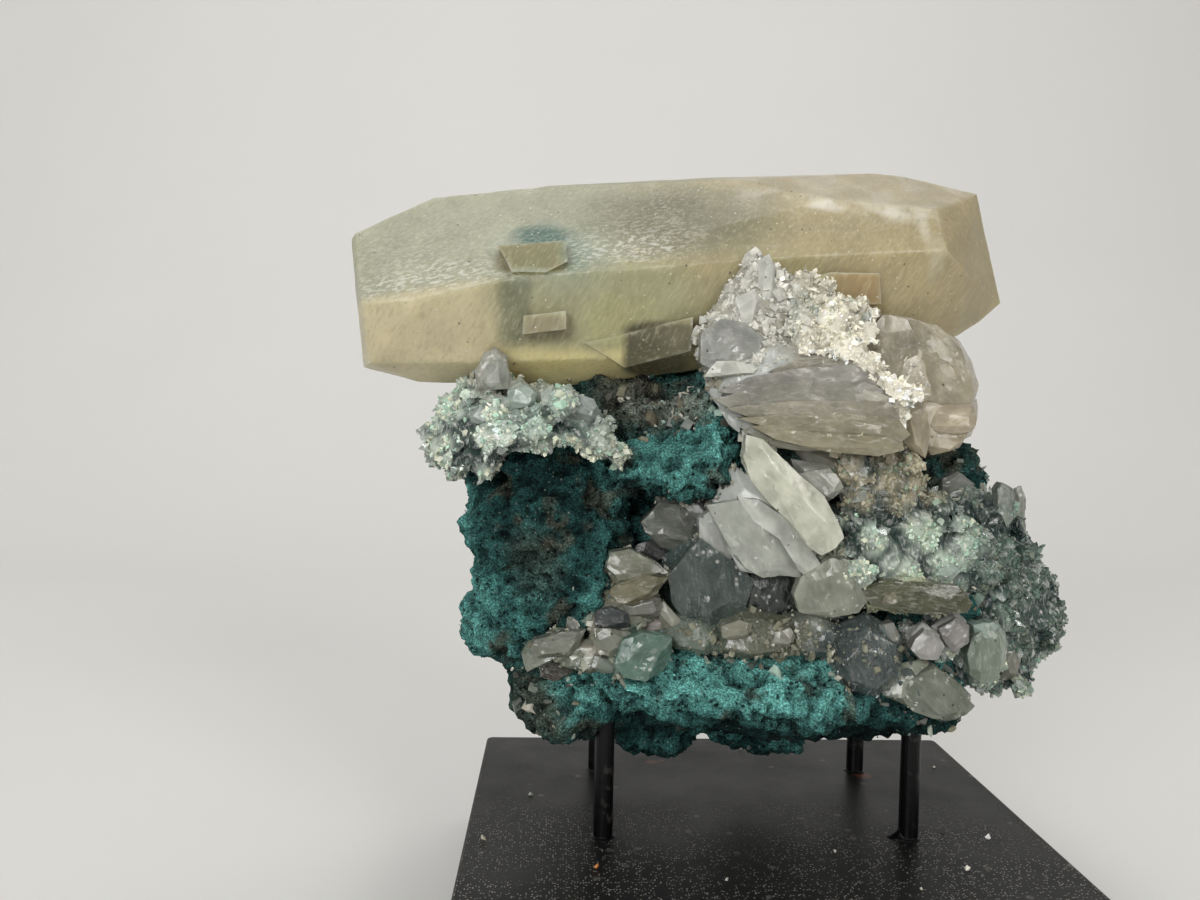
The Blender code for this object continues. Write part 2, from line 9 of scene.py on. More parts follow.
import bmesh
import bpy
import numpy as np
from mathutils import Matrix, Vector


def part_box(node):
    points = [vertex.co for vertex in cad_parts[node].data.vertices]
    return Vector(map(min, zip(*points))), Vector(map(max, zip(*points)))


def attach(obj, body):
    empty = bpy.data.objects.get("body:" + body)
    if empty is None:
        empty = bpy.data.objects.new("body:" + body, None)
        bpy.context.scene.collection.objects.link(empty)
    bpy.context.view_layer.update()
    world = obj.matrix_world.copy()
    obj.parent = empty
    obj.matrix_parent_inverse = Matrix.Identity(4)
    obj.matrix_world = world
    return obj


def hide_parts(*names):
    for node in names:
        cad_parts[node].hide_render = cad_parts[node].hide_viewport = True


bl_info = {
    "name": "Calcite Specimen",
    "version": (1, 0, 0),
    "blender": (4, 5, 0),
    "location": "View3D > Sidebar > Specimen",
    "description": "Dresses a calcite specimen on a pinned display base",
    "category": "Object",
}

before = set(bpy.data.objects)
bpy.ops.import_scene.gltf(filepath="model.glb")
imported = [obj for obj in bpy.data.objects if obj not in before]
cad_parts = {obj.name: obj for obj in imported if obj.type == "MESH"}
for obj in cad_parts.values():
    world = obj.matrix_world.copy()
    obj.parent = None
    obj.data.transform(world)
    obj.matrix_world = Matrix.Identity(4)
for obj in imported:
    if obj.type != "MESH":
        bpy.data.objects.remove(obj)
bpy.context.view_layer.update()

MM = 0.001
MERGE_REACH = 0.002 * MM
MOST_HALVINGS = 7
BODY = "root"
STAND_TOP = float(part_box("base")[1][2])
PINS = ("pin_front_left", "pin_front_right", "pin_back_left", "pin_back_right")

# Finish colours, linear
TEAL_DEEP = (0.012, 0.05, 0.048)
TEAL = (0.062, 0.2, 0.185)
TEAL_BRIGHT = (0.18, 0.52, 0.48)
ROCK_BROWN = (0.1, 0.095, 0.07)
ROCK_PALE = (0.42, 0.47, 0.4)
SUGAR_WHITE = (0.78, 0.75, 0.64)
SUGAR_MINT = (0.5, 0.66, 0.57)
SUGAR_DULL = (0.66, 0.65, 0.57)
SUGAR_CLEAR = (0.86, 0.92, 0.88)


# Large odd factors that spread x, y, z and the seed over the hash, and two that fold it
HASH_SPREAD = (73856093, 19349663, 83492791, 2654435761)
HASH_FOLD = (1274126177, 668265263)
HASH_TOP = 0xFFFFF


# Noise on whole arrays of points

def hashed(cells, seed):
    """Give each whole-number cell a repeatable number from 0 to 1 by multiplying and folding its bits."""
    spread_x, spread_y, spread_z, spread_seed = HASH_SPREAD
    mixed = cells[:, 0] * spread_x ^ cells[:, 1] * spread_y ^ cells[:, 2] * spread_z ^ seed * spread_seed
    mixed = (mixed ^ (mixed >> 13)) * HASH_FOLD[0]
    mixed = (mixed ^ (mixed >> 16)) * HASH_FOLD[1]
    return ((mixed >> 7) & HASH_TOP) / float(HASH_TOP)


def soft_noise(points, size, seed):
    """Blend the eight corner values of each point's cell with the fade 6t^5 - 15t^4 + 10t^3, from -1 to 1."""
    place = points / size
    low = np.floor(place).astype(np.int64)
    part = place - low
    fade = part ** 3 * (part * (part * 6 - 15) + 10)
    total = np.zeros(len(points))
    for corner in range(8):
        step = np.array([corner & 1, corner >> 1 & 1, corner >> 2 & 1])
        weight = np.prod(np.where(step == 1, fade, 1 - fade), axis=1)
        total += weight * hashed(low + step, seed)
    return total * 2 - 1


def layered_noise(points, size, seed, layers=4, keep=0.5):
    """Add soft noise of halving size, each layer turned a little and weaker by the factor keep."""
    turn = np.array(Matrix.Rotation(0.7, 3, Vector((1, 2, 3)).normalized()))
    total = np.zeros(len(points))
    weight = 1.0
    place = points
    for layer in range(layers):
        total += weight * soft_noise(place, size, seed + layer)
        place = place @ turn.T
        size *= 0.5
        weight *= keep
    return total


def cell_noise(points, size, seed):
    """Distances to the nearest and second nearest of one random seed point in each cell, in cells."""
    place = points / size
    low = np.floor(place).astype(np.int64)
    nearest = np.full(len(points), 9.0)
    second = np.full(len(points), 9.0)
    tag = np.zeros(len(points))
    for step in np.ndindex(3, 3, 3):
        cell = low + np.array(step) - 1
        seed_point = cell + np.stack([hashed(cell, seed + axis) for axis in range(3)], axis=1)
        reach = np.linalg.norm(place - seed_point, axis=1)
        closer = reach < nearest
        second = np.where(closer, nearest, np.minimum(second, reach))
        tag = np.where(closer, hashed(cell, seed + 7), tag)
        nearest = np.minimum(nearest, reach)
    return nearest, second, tag


def facets(points, size, seed):
    """Break a skin into flats: each cell's seed gets a random tilt, and the height is (p - seed) . tilt."""
    place = points / size
    low = np.floor(place).astype(np.int64)
    nearest = np.full(len(points), 9.0)
    height = np.zeros(len(points))
    for step in np.ndindex(3, 3, 3):
        cell = low + np.array(step) - 1
        offset = place - cell - np.stack([hashed(cell, seed + axis) for axis in range(3)], axis=1)
        reach = np.linalg.norm(offset, axis=1)
        closer = reach < nearest
        tilt = np.stack([hashed(cell, seed + 10 + axis) for axis in range(3)], axis=1) * 2 - 1
        height = np.where(closer, np.sum(offset * tilt, axis=1) + tilt[:, 0] * 0.3, height)
        nearest = np.minimum(nearest, reach)
    return height


def within(points, centre, radii, soft=0.3, power=2):
    """Mask of an ellipsoid in millimetres, boxier for a higher power: 1 inside, 0 outside, soft between."""
    offset = np.abs((points / MM - np.array(centre)) / np.array(radii))
    reach = np.sum(offset ** power, axis=1) ** (1 / power)
    return np.clip((1 + soft - reach) / (2 * soft), 0, 1)


def blended(base, top, mask):
    """Mix two colours, or arrays of colours, by a mask."""
    return base + (np.asarray(top) - base) * mask[:, None]


# Meshes

def placed(name, mesh):
    """Put a mesh in the scene as an object."""
    item = bpy.data.objects.new(name, mesh)
    bpy.context.scene.collection.objects.link(item)
    return item


def mesh_object(name, points, loops, counts, colours=None):
    """Make an object from arrays: points, corner indices in one row and the corner count of each face."""
    mesh = bpy.data.meshes.new(name)
    mesh.vertices.add(len(points))
    mesh.vertices.foreach_set("co", np.asarray(points, np.float32).ravel())
    mesh.loops.add(len(loops))
    mesh.loops.foreach_set("vertex_index", np.asarray(loops, np.int32))
    mesh.polygons.add(len(counts))
    starts = np.concatenate(([0], np.cumsum(counts)[:-1]))
    mesh.polygons.foreach_set("loop_start", starts.astype(np.int32))
    mesh.polygons.foreach_set("use_smooth", np.zeros(len(counts), bool))
    mesh.update(calc_edges=True)
    mesh.validate()
    if colours is not None:
        tinted(mesh, colours)
    return placed(name, mesh)


def tinted(mesh, colours):
    """Store one linear colour for each vertex in the attribute named tint."""
    layer = mesh.attributes.get("tint") or mesh.attributes.new("tint", "FLOAT_COLOR", "POINT")
    rgba = np.ones((len(mesh.vertices), 4), np.float32)
    rgba[:, :3] = np.clip(colours, 0, 1)
    layer.data.foreach_set("color", rgba.ravel())


def skin_of(mesh):
    """Read a mesh's vertex places and normals as arrays."""
    places = np.empty(len(mesh.vertices) * 3, np.float32)
    facing = np.empty(len(mesh.vertices) * 3, np.float32)
    mesh.vertices.foreach_get("co", places)
    mesh.vertices.foreach_get("normal", facing)
    return places.reshape(-1, 3).astype(float), facing.reshape(-1, 3).astype(float)


def moved(mesh, places):
    """Write vertex places back."""
    mesh.vertices.foreach_set("co", places.astype(np.float32).ravel())
    mesh.update()


def merged_solid(node):
    """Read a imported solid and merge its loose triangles."""
    shape = bmesh.new()
    shape.from_mesh(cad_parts[node].data)
    bmesh.ops.remove_doubles(shape, verts=shape.verts, dist=MERGE_REACH)
    return shape


def object_from(name, shape):
    """Turn a bmesh into an object without a finish."""
    mesh = bpy.data.meshes.new(name)
    shape.to_mesh(mesh)
    shape.free()
    mesh.materials.clear()
    return placed(name, mesh)


def fine_copy(name, node, voxel):
    """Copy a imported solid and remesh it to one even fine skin."""
    item = object_from(name, merged_solid(node))
    mesh = item.data
    melt = item.modifiers.new("fine skin", "REMESH")
    melt.mode = "VOXEL"
    melt.voxel_size = voxel
    melt.use_smooth_shade = True
    graph = bpy.context.evaluated_depsgraph_get()
    fine = bpy.data.meshes.new_from_object(item.evaluated_get(graph))
    item.modifiers.clear()
    item.data = fine
    bpy.data.meshes.remove(mesh)
    fine.name = name
    return item


def cut_small(shape, spacing):
    """Halve every edge longer than the spacing until none is left, with the faces as triangles."""
    for halving in range(MOST_HALVINGS):
        long = [edge for edge in shape.edges if edge.calc_length() > spacing]
        if not long:
            break
        bmesh.ops.subdivide_edges(shape, edges=long, cuts=1)
        bmesh.ops.triangulate(shape, faces=[face for face in shape.faces if len(face.verts) > 3])


def crisp_copy(name, node, spacing):
    """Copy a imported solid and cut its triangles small, so that every edge stays sharp."""
    shape = merged_solid(node)
    cut_small(shape, spacing)
    return object_from(name, shape)


def edged(mesh, degrees):
    """Shade a mesh smooth with a sharp edge wherever two faces meet at more than an angle."""
    mesh.polygons.foreach_set("use_smooth", np.ones(len(mesh.polygons), bool))
    mesh.set_sharp_from_angle(angle=math.radians(degrees))


def edge_sharpness(mesh):
    """How sharply the faces round each vertex turn: 0 on a flat, up to 1 on a sharp edge."""
    corners = np.empty(len(mesh.loops), np.int32)
    mesh.loops.foreach_get("vertex_index", corners)
    facing = np.empty(len(mesh.polygons) * 3, np.float32)
    mesh.polygons.foreach_get("normal", facing)
    facing = np.repeat(facing.reshape(-1, 3), 3, axis=0)
    middle = skin_of(mesh)[1]
    turn = np.ones(len(mesh.vertices))
    np.minimum.at(turn, corners, np.sum(facing * middle[corners], axis=1))
    return np.clip((0.985 - turn) * 12, 0, 1)


def settled(item, material, slot, *nodes):
    """Give a piece its finish, let it ride on the body and hide the solids it stands for."""
    item.data.materials.clear()
    item.data.materials.append(material)
    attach(item, BODY)
    if nodes:
        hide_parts(*nodes)
    return item


# Small shapes for strewing: points, and faces as corner lists

def quartz_point():
    """A six-sided prism with a six-sided tip: two rings of radius r at two heights and one apex."""
    turn = np.arange(6) * math.tau / 6
    ring = np.stack([np.cos(turn), np.sin(turn), np.zeros(6)], axis=1) * 0.36
    points = np.vstack([ring + (0, 0, -0.4), ring * 0.94 + (0, 0, 0.5), [(0.03, 0.02, 0.95)]])
    faces = [[5, 4, 3, 2, 1, 0]]
    faces += [[side, (side + 1) % 6, (side + 1) % 6 + 6, side + 6] for side in range(6)]
    faces += [[side + 6, (side + 1) % 6 + 6, 12] for side in range(6)]
    return points, faces


def rhomb():
    """A cube leaned along one diagonal, as calcite breaks."""
    corners = np.array([(x, y, z) for z in (-1, 1) for y in (-1, 1) for x in (-1, 1)], float) * 0.5
    corners[:, 0] += corners[:, 2] * 0.35
    corners[:, 1] += corners[:, 2] * 0.15
    faces = [[0, 2, 3, 1], [4, 5, 7, 6], [0, 1, 5, 4], [2, 6, 7, 3], [0, 4, 6, 2], [1, 3, 7, 5]]
    return corners, faces


def grain():
    """An eight-sided crumb: six corners on the axes, pushed a little off them."""
    points = np.array([
        (0.5, 0.08, 0), (-0.46, 0, 0.1), (0.05, 0.5, 0), (0, -0.44, -0.06), (0.1, 0, 0.6), (0, 0.1, -0.4)])
    faces = [[0, 2, 4], [2, 1, 4], [1, 3, 4], [3, 0, 4], [2, 0, 5], [1, 2, 5], [3, 1, 5], [0, 3, 5]]
    return points, faces


def flake():
    """A thin six-sided plate."""
    turn = np.arange(6) * math.tau / 6
    ring = np.stack([np.cos(turn) * 0.55, np.sin(turn) * 0.42, np.zeros(6)], axis=1)
    points = np.vstack([ring + (0, 0, -0.09), ring * 0.9 + (0, 0, 0.09)])
    faces = [[5, 4, 3, 2, 1, 0], [6, 7, 8, 9, 10, 11]]
    faces += [[side, (side + 1) % 6, (side + 1) % 6 + 6, side + 6] for side in range(6)]
    return points, faces


def strewn(shape, places, facing, sizes, colours, lean, chance):
    """Set copies of a small shape on given places, each turned about its normal and leaned at random.

    A copy's points are R s (p k + e) + c, with R from the leaned normal and a random spin, s its size, k its
    stretch, e a small random unevenness of each corner and c its place.
    """
    template, faces = shape
    count = len(places)
    axis = facing + chance.normal(0, lean, (count, 3))
    axis /= np.linalg.norm(axis, axis=1)[:, None]
    side = np.cross(axis, chance.normal(0, 1, (count, 3)))
    side /= np.linalg.norm(side, axis=1)[:, None]
    turn = np.stack([side, np.cross(axis, side), axis], axis=2)
    stretch = chance.uniform(0.55, 1.3, (count, 1, 3))
    uneven = template[None] * stretch + chance.normal(0, 0.07, (count, len(template), 3))
    points = np.einsum("nij,nkj->nki", turn, uneven * sizes[:, None, None]) + places[:, None]
    corner_row = np.concatenate(faces)
    counts = np.array([len(face) for face in faces])
    loops = (corner_row[None] + (np.arange(count) * len(template))[:, None]).ravel()
    shades = np.repeat(colours, len(template), axis=0)
    return points.reshape(-1, 3), loops, np.tile(counts, count), shades


def picked(item, weight, count, chance):
    """Pick faces of a skin at random, by area times a weight, and return their centres and normals."""
    mesh = item.data
    centres = np.empty(len(mesh.polygons) * 3, np.float32)
    facing = np.empty(len(mesh.polygons) * 3, np.float32)
    area = np.empty(len(mesh.polygons), np.float32)
    mesh.polygons.foreach_get("center", centres)
    mesh.polygons.foreach_get("normal", facing)
    mesh.polygons.foreach_get("area", area)
    centres = centres.reshape(-1, 3).astype(float)
    facing = facing.reshape(-1, 3).astype(float)
    share = area * np.clip(weight(centres, facing), 0, None)
    chosen = chance.choice(len(share), size=count, p=share / share.sum())
    jitter = chance.normal(0, 0.18 * MM, (count, 3))
    return centres[chosen] + jitter, facing[chosen]


def joined(name, *parts):
    """Make one mesh object from several sets of points, corner rows, corner counts and colours."""
    starts = np.cumsum([0] + [len(points) for points, loops, counts, colours in parts[:-1]])
    loops = np.concatenate([part[1] + start for part, start in zip(parts, starts)])
    points, counts, colours = (np.concatenate([part[index] for part in parts]) for index in (0, 2, 3))
    return mesh_object(name, points, loops, counts, colours)


# Shader building blocks

def added(tree, kind, **inputs):
    """Add a node and set its plain inputs by name, with underscores for spaces."""
    item = tree.nodes.new(kind)
    for key, value in inputs.items():
        item.inputs[key.replace("_", " ")].default_value = value
    return item


def group_tree(name, inputs, outputs):
    """Start a shader node group with named float or colour sockets."""
    tree = bpy.data.node_groups.new(name, "ShaderNodeTree")
    for label, kind, value in inputs:
        socket = tree.interface.new_socket(label, in_out="INPUT", socket_type=kind)
        if value is not None:
            socket.default_value = value
    for label, kind in outputs:
        tree.interface.new_socket(label, in_out="OUTPUT", socket_type=kind)
    return tree, tree.nodes.new("NodeGroupInput"), tree.nodes.new("NodeGroupOutput")


def placed_group(tree, name, **values):
    """Place a node group with its own values."""
    item = tree.nodes.new("ShaderNodeGroup")
    item.node_tree = bpy.data.node_groups[name]
    for key, value in values.items():
        item.inputs[key.replace("_", " ")].default_value = value
    return item


def arithmetic(tree, operation, first, second):
    """Place a Math node and wire or set its two inputs."""
    item = tree.nodes.new("ShaderNodeMath")
    item.operation = operation
    for index, value in enumerate((first, second)):
        if hasattr(value, "is_output"):
            tree.links.new(value, item.inputs[index])
        else:
            item.inputs[index].default_value = value
    return item.outputs[0]


def ranged(tree, source, low, high, out_low=0.0, out_high=1.0):
    """Map a value from one range to another, held at the ends."""
    item = added(tree, "ShaderNodeMapRange", From_Min=low, From_Max=high, To_Min=out_low, To_Max=out_high)
    tree.links.new(source, item.inputs["Value"])
    return item.outputs["Result"]


def mixed(tree, factor, first, second, mode="MIX"):
    """Place a colour mix of two wired or plain colours."""
    item = tree.nodes.new("ShaderNodeMix")
    item.data_type = "RGBA"
    item.blend_type = mode
    for socket, value in ((item.inputs[0], factor), (item.inputs[6], first), (item.inputs[7], second)):
        if hasattr(value, "is_output"):
            tree.links.new(value, socket)
        elif isinstance(value, tuple):
            socket.default_value = (*value, 1.0)
        else:
            socket.default_value = value
    return item.outputs[2]


def build_groups():
    """Build the effects that several finishes share: speckle and growth streaks."""
    tree, entry, out = group_tree(
        "speckle",
        [("Vector", "NodeSocketVector", None), ("Size", "NodeSocketFloat", 500.0),
         ("Share", "NodeSocketFloat", 0.2)],
        [("Mask", "NodeSocketFloat")])
    cells = added(tree, "ShaderNodeTexVoronoi", Randomness=1.0)
    tree.links.new(entry.outputs["Vector"], cells.inputs["Vector"])
    tree.links.new(entry.outputs["Size"], cells.inputs["Scale"])
    chosen = tree.nodes.new("ShaderNodeSeparateColor")
    tree.links.new(cells.outputs["Color"], chosen.inputs["Color"])
    kept = arithmetic(tree, "LESS_THAN", chosen.outputs["Red"], entry.outputs["Share"])
    dot = ranged(tree, cells.outputs["Distance"], 0.34, 0.2)
    tree.links.new(arithmetic(tree, "MULTIPLY", kept, dot), out.inputs["Mask"])

    tree, entry, out = group_tree(
        "growth streaks",
        [("Vector", "NodeSocketVector", None), ("Length", "NodeSocketFloat", 150.0),
         ("Width", "NodeSocketFloat", 1400.0), ("Turn", "NodeSocketFloat", 0.0)],
        [("Height", "NodeSocketFloat")])
    turned = added(tree, "ShaderNodeVectorRotate")
    turned.rotation_type = "Y_AXIS"
    tree.links.new(entry.outputs["Vector"], turned.inputs["Vector"])
    tree.links.new(entry.outputs["Turn"], turned.inputs["Angle"])
    parts = tree.nodes.new("ShaderNodeSeparateXYZ")
    tree.links.new(turned.outputs["Vector"], parts.inputs["Vector"])
    across = arithmetic(tree, "MULTIPLY", parts.outputs["X"], entry.outputs["Width"])
    along = arithmetic(tree, "MULTIPLY", parts.outputs["Z"], entry.outputs["Length"])
    deep = arithmetic(tree, "MULTIPLY", parts.outputs["Y"], entry.outputs["Width"])
    whole = tree.nodes.new("ShaderNodeCombineXYZ")
    tree.links.new(across, whole.inputs["X"])
    tree.links.new(deep, whole.inputs["Y"])
    tree.links.new(along, whole.inputs["Z"])
    lines = added(tree, "ShaderNodeTexNoise", Scale=1.0, Detail=4.0, Roughness=0.6)
    tree.links.new(whole.outputs["Vector"], lines.inputs["Vector"])
    tree.links.new(lines.outputs["Fac"], out.inputs["Height"])


def finish(name, roughness, transmission=0.0, ior=1.5):
    """Start a material and return it with its tree, its shader, its Object coordinates and its tint."""
    material = bpy.data.materials.new(name)
    material.use_nodes = True
    tree = material.node_tree
    shader = tree.nodes["Principled BSDF"]
    shader.inputs["Roughness"].default_value = roughness
    shader.inputs["Transmission Weight"].default_value = transmission
    shader.inputs["IOR"].default_value = ior
    place = tree.nodes.new("ShaderNodeTexCoord").outputs["Object"]
    tint = tree.nodes.new("ShaderNodeAttribute")
    tint.attribute_name = "tint"
    return material, tree, shader, place, tint.outputs["Color"]


def dotted(tree, colour, group, strength, dot_colour):
    """Lay a speckle group's dots over a colour."""
    return mixed(tree, arithmetic(tree, "MULTIPLY", group.outputs["Mask"], strength), colour, dot_colour)


def bumped(tree, shader, height, strength, distance):
    """Wire a height to the shader's normal."""
    bump = added(tree, "ShaderNodeBump", Strength=strength, Distance=distance)
    tree.links.new(height, bump.inputs["Height"])
    tree.links.new(bump.outputs["Normal"], shader.inputs["Normal"])
    return bump


def absorbing(tree, colour, density):
    """Fill the solid with a plain absorbing body."""
    body = tree.nodes.new("ShaderNodeVolumeAbsorption")
    body.inputs["Color"].default_value = (*colour, 1.0)
    body.inputs["Density"].default_value = density
    tree.links.new(body.outputs["Volume"], tree.nodes["Material Output"].inputs["Volume"])


def rock_finish():
    """Teal velvet crust: the tint under fine grain, painted shade in pores and between grains, painted
    highlight on grain tops.
    """
    material, tree, shader, place, tint = finish("teal_crust", 0.95)
    fine = added(tree, "ShaderNodeTexNoise", Scale=3200.0, Detail=4.0, Roughness=0.8)
    wide = added(tree, "ShaderNodeTexNoise", Scale=480.0, Detail=8.0, Roughness=0.75)
    beads = added(tree, "ShaderNodeTexVoronoi", Scale=2300.0, Randomness=1.0)
    pores = added(tree, "ShaderNodeTexVoronoi", Scale=900.0, Randomness=1.0)
    for texture in (fine, wide, beads, pores):
        tree.links.new(place, texture.inputs["Vector"])
    dome = ranged(tree, beads.outputs["Distance"], 0.75, 0.1)
    grain_light = ranged(tree, fine.outputs["Fac"], 0.38, 0.62, 0.5, 1.6)
    patch_light = ranged(tree, wide.outputs["Fac"], 0.36, 0.62, 0.55, 1.45)
    colour = mixed(tree, 1.0, tint, grain_light, "MULTIPLY")
    colour = mixed(tree, 1.0, colour, patch_light, "MULTIPLY")
    # Painted light and shade: each bead lighter at its middle and darker at its rim
    colour = mixed(tree, 1.0, colour, ranged(tree, dome, 0.15, 0.7, 0.7, 1.35), "MULTIPLY")
    # Painted shade: where the wide noise is low the pores turn near black
    opened = ranged(tree, pores.outputs["Distance"], 0.36, 0.18)
    opened = arithmetic(tree, "MULTIPLY", opened, ranged(tree, wide.outputs["Fac"], 0.54, 0.44))
    colour = mixed(tree, arithmetic(tree, "MULTIPLY", opened, 0.9), colour, (0.004, 0.01, 0.01))
    specks = placed_group(tree, "speckle", Size=1500.0, Share=0.07)
    tree.links.new(place, specks.inputs["Vector"])
    colour = dotted(tree, colour, specks, 0.45, (0.36, 0.42, 0.36))
    tree.links.new(colour, shader.inputs["Base Color"])
    shader.inputs["Specular IOR Level"].default_value = 0.12
    height = arithmetic(tree, "ADD", arithmetic(tree, "MULTIPLY", fine.outputs["Fac"], 0.7), dome)
    height = arithmetic(tree, "ADD", height, arithmetic(tree, "MULTIPLY", wide.outputs["Fac"], 2.6))
    height = arithmetic(tree, "SUBTRACT", height, arithmetic(tree, "MULTIPLY", opened, 1.5))
    bumped(tree, shader, height, 1.0, 0.5 * MM)
    return material


def crust_finish(name, roughness, transmission, shine):
    """Strewn grains and small crystals, coloured one by one."""
    material, tree, shader, place, tint = finish(name, roughness, transmission, 1.54)
    cloud = added(tree, "ShaderNodeTexNoise", Scale=900.0, Detail=3.0)
    tree.links.new(place, cloud.inputs["Vector"])
    shade = ranged(tree, cloud.outputs["Fac"], 0.3, 0.7, 0.8, 1.2)
    tree.links.new(mixed(tree, 1.0, tint, shade, "MULTIPLY"), shader.inputs["Base Color"])
    shader.inputs["Specular IOR Level"].default_value = shine
    return material


def calcite_finish():
    """Milky honey calcite: its tint, soft clouds, bright dashes in the rough band, hatching and specks."""
    material, tree, shader, place, tint = finish("honey_calcite", 0.34, 0.3, 1.49)
    cloud = added(tree, "ShaderNodeTexNoise", Scale=160.0, Detail=8.0, Roughness=0.7)
    tree.links.new(place, cloud.inputs["Vector"])
    shade = ranged(tree, cloud.outputs["Fac"], 0.3, 0.7, 0.86, 1.14)
    colour = mixed(tree, 1.0, tint, shade, "MULTIPLY")
    band = tree.nodes.new("ShaderNodeAttribute")
    band.attribute_name = "sparkle"
    hatch = placed_group(tree, "growth streaks", Length=330.0, Width=1900.0, Turn=-0.45)
    dashes = placed_group(tree, "growth streaks", Length=2600.0, Width=900.0, Turn=0.2)
    dust = placed_group(tree, "speckle", Size=1900.0, Share=0.022)
    soot = placed_group(tree, "speckle", Size=1500.0, Share=0.008)
    for group in (hatch, dashes, dust, soot):
        tree.links.new(place, group.inputs["Vector"])
    lines = ranged(tree, hatch.outputs["Height"], 0.52, 0.68, 0.0, 0.3)
    colour = mixed(tree, lines, colour, (0.74, 0.7, 0.48))
    dents = ranged(tree, hatch.outputs["Height"], 0.46, 0.32, 0.0, 0.28)
    colour = mixed(tree, dents, colour, (0.2, 0.19, 0.1))
    frost = ranged(tree, dashes.outputs["Height"], 0.5, 0.57)
    frost = arithmetic(tree, "MULTIPLY", frost, band.outputs["Fac"])
    colour = mixed(tree, arithmetic(tree, "MULTIPLY", frost, 0.7), colour, (0.86, 0.86, 0.79))
    colour = dotted(tree, colour, dust, 0.7, (0.9, 0.89, 0.82))
    colour = dotted(tree, colour, soot, 0.8, (0.03, 0.03, 0.025))
    tree.links.new(colour, shader.inputs["Base Color"])
    height = arithmetic(tree, "ADD", hatch.outputs["Height"], arithmetic(tree, "MULTIPLY", frost, 1.2))
    height = arithmetic(tree, "ADD", height, arithmetic(tree, "MULTIPLY", cloud.outputs["Fac"], 0.8))
    bumped(tree, shader, height, 0.4, 0.22 * MM)
    shader.inputs["Subsurface Weight"].default_value = 0.6
    shader.inputs["Subsurface Radius"].default_value = (1.0, 0.9, 0.6)
    shader.inputs["Subsurface Scale"].default_value = 7 * MM
    absorbing(tree, (0.8, 0.76, 0.5), 14.0)
    return material


def quartz_finish(name, roughness, transmission, frost, flecks):
    """Translucent crystal: its tint, streaks along its growth, inner veils, pale flecks and dark specks."""
    material, tree, shader, place, tint = finish(name, roughness, transmission, 1.54)
    way = tree.nodes.new("ShaderNodeAttribute")
    way.attribute_name = "growth"
    drawn = added(tree, "ShaderNodeMapping", Scale=(2200.0, 700.0, 1800.0))
    plates = added(tree, "ShaderNodeMapping", Scale=(420.0, 260.0, 420.0))
    tree.links.new(way.outputs["Vector"], drawn.inputs["Vector"])
    tree.links.new(way.outputs["Vector"], plates.inputs["Vector"])
    streaks = added(tree, "ShaderNodeTexNoise", Scale=1.0, Detail=3.0, Roughness=0.6)
    plate = added(tree, "ShaderNodeTexNoise", Scale=1.0, Detail=5.0, Roughness=0.6, Distortion=0.4)
    tree.links.new(drawn.outputs["Vector"], streaks.inputs["Vector"])
    tree.links.new(plates.outputs["Vector"], plate.inputs["Vector"])
    specks = placed_group(tree, "speckle", Size=900.0, Share=flecks)
    soot = placed_group(tree, "speckle", Size=1300.0, Share=0.02)
    cloud = added(tree, "ShaderNodeTexNoise", Scale=340.0, Detail=8.0, Roughness=0.72)
    for group in (specks, soot, cloud):
        tree.links.new(place, group.inputs["Vector"])
    shade = ranged(tree, plate.outputs["Fac"], 0.34, 0.66, 0.88, 1.1)
    colour = mixed(tree, 1.0, tint, shade, "MULTIPLY")
    colour = mixed(tree, 1.0, colour, ranged(tree, cloud.outputs["Fac"], 0.32, 0.68, 0.92, 1.07), "MULTIPLY")
    veil = arithmetic(tree, "MULTIPLY", ranged(tree, streaks.outputs["Fac"], 0.5, 0.66), frost)
    veil = arithmetic(tree, "MULTIPLY", veil, ranged(tree, cloud.outputs["Fac"], 0.42, 0.6, 0.25, 1.0))
    colour = mixed(tree, veil, colour, (0.95, 0.94, 0.9))
    colour = dotted(tree, colour, specks, 0.55, (0.92, 0.91, 0.85))
    colour = dotted(tree, colour, soot, 0.75, (0.04, 0.035, 0.02))
    tree.links.new(colour, shader.inputs["Base Color"])
    height = arithmetic(tree, "MULTIPLY", streaks.outputs["Fac"], 0.35)
    height = arithmetic(tree, "ADD", height, arithmetic(tree, "MULTIPLY", plate.outputs["Fac"], 1.6))
    height = arithmetic(tree, "ADD", height, arithmetic(tree, "MULTIPLY", cloud.outputs["Fac"], 1.5))
    bumped(tree, shader, height, 0.45, 0.14 * MM)
    absorbing(tree, (0.7, 0.72, 0.66), 20.0)
    return material


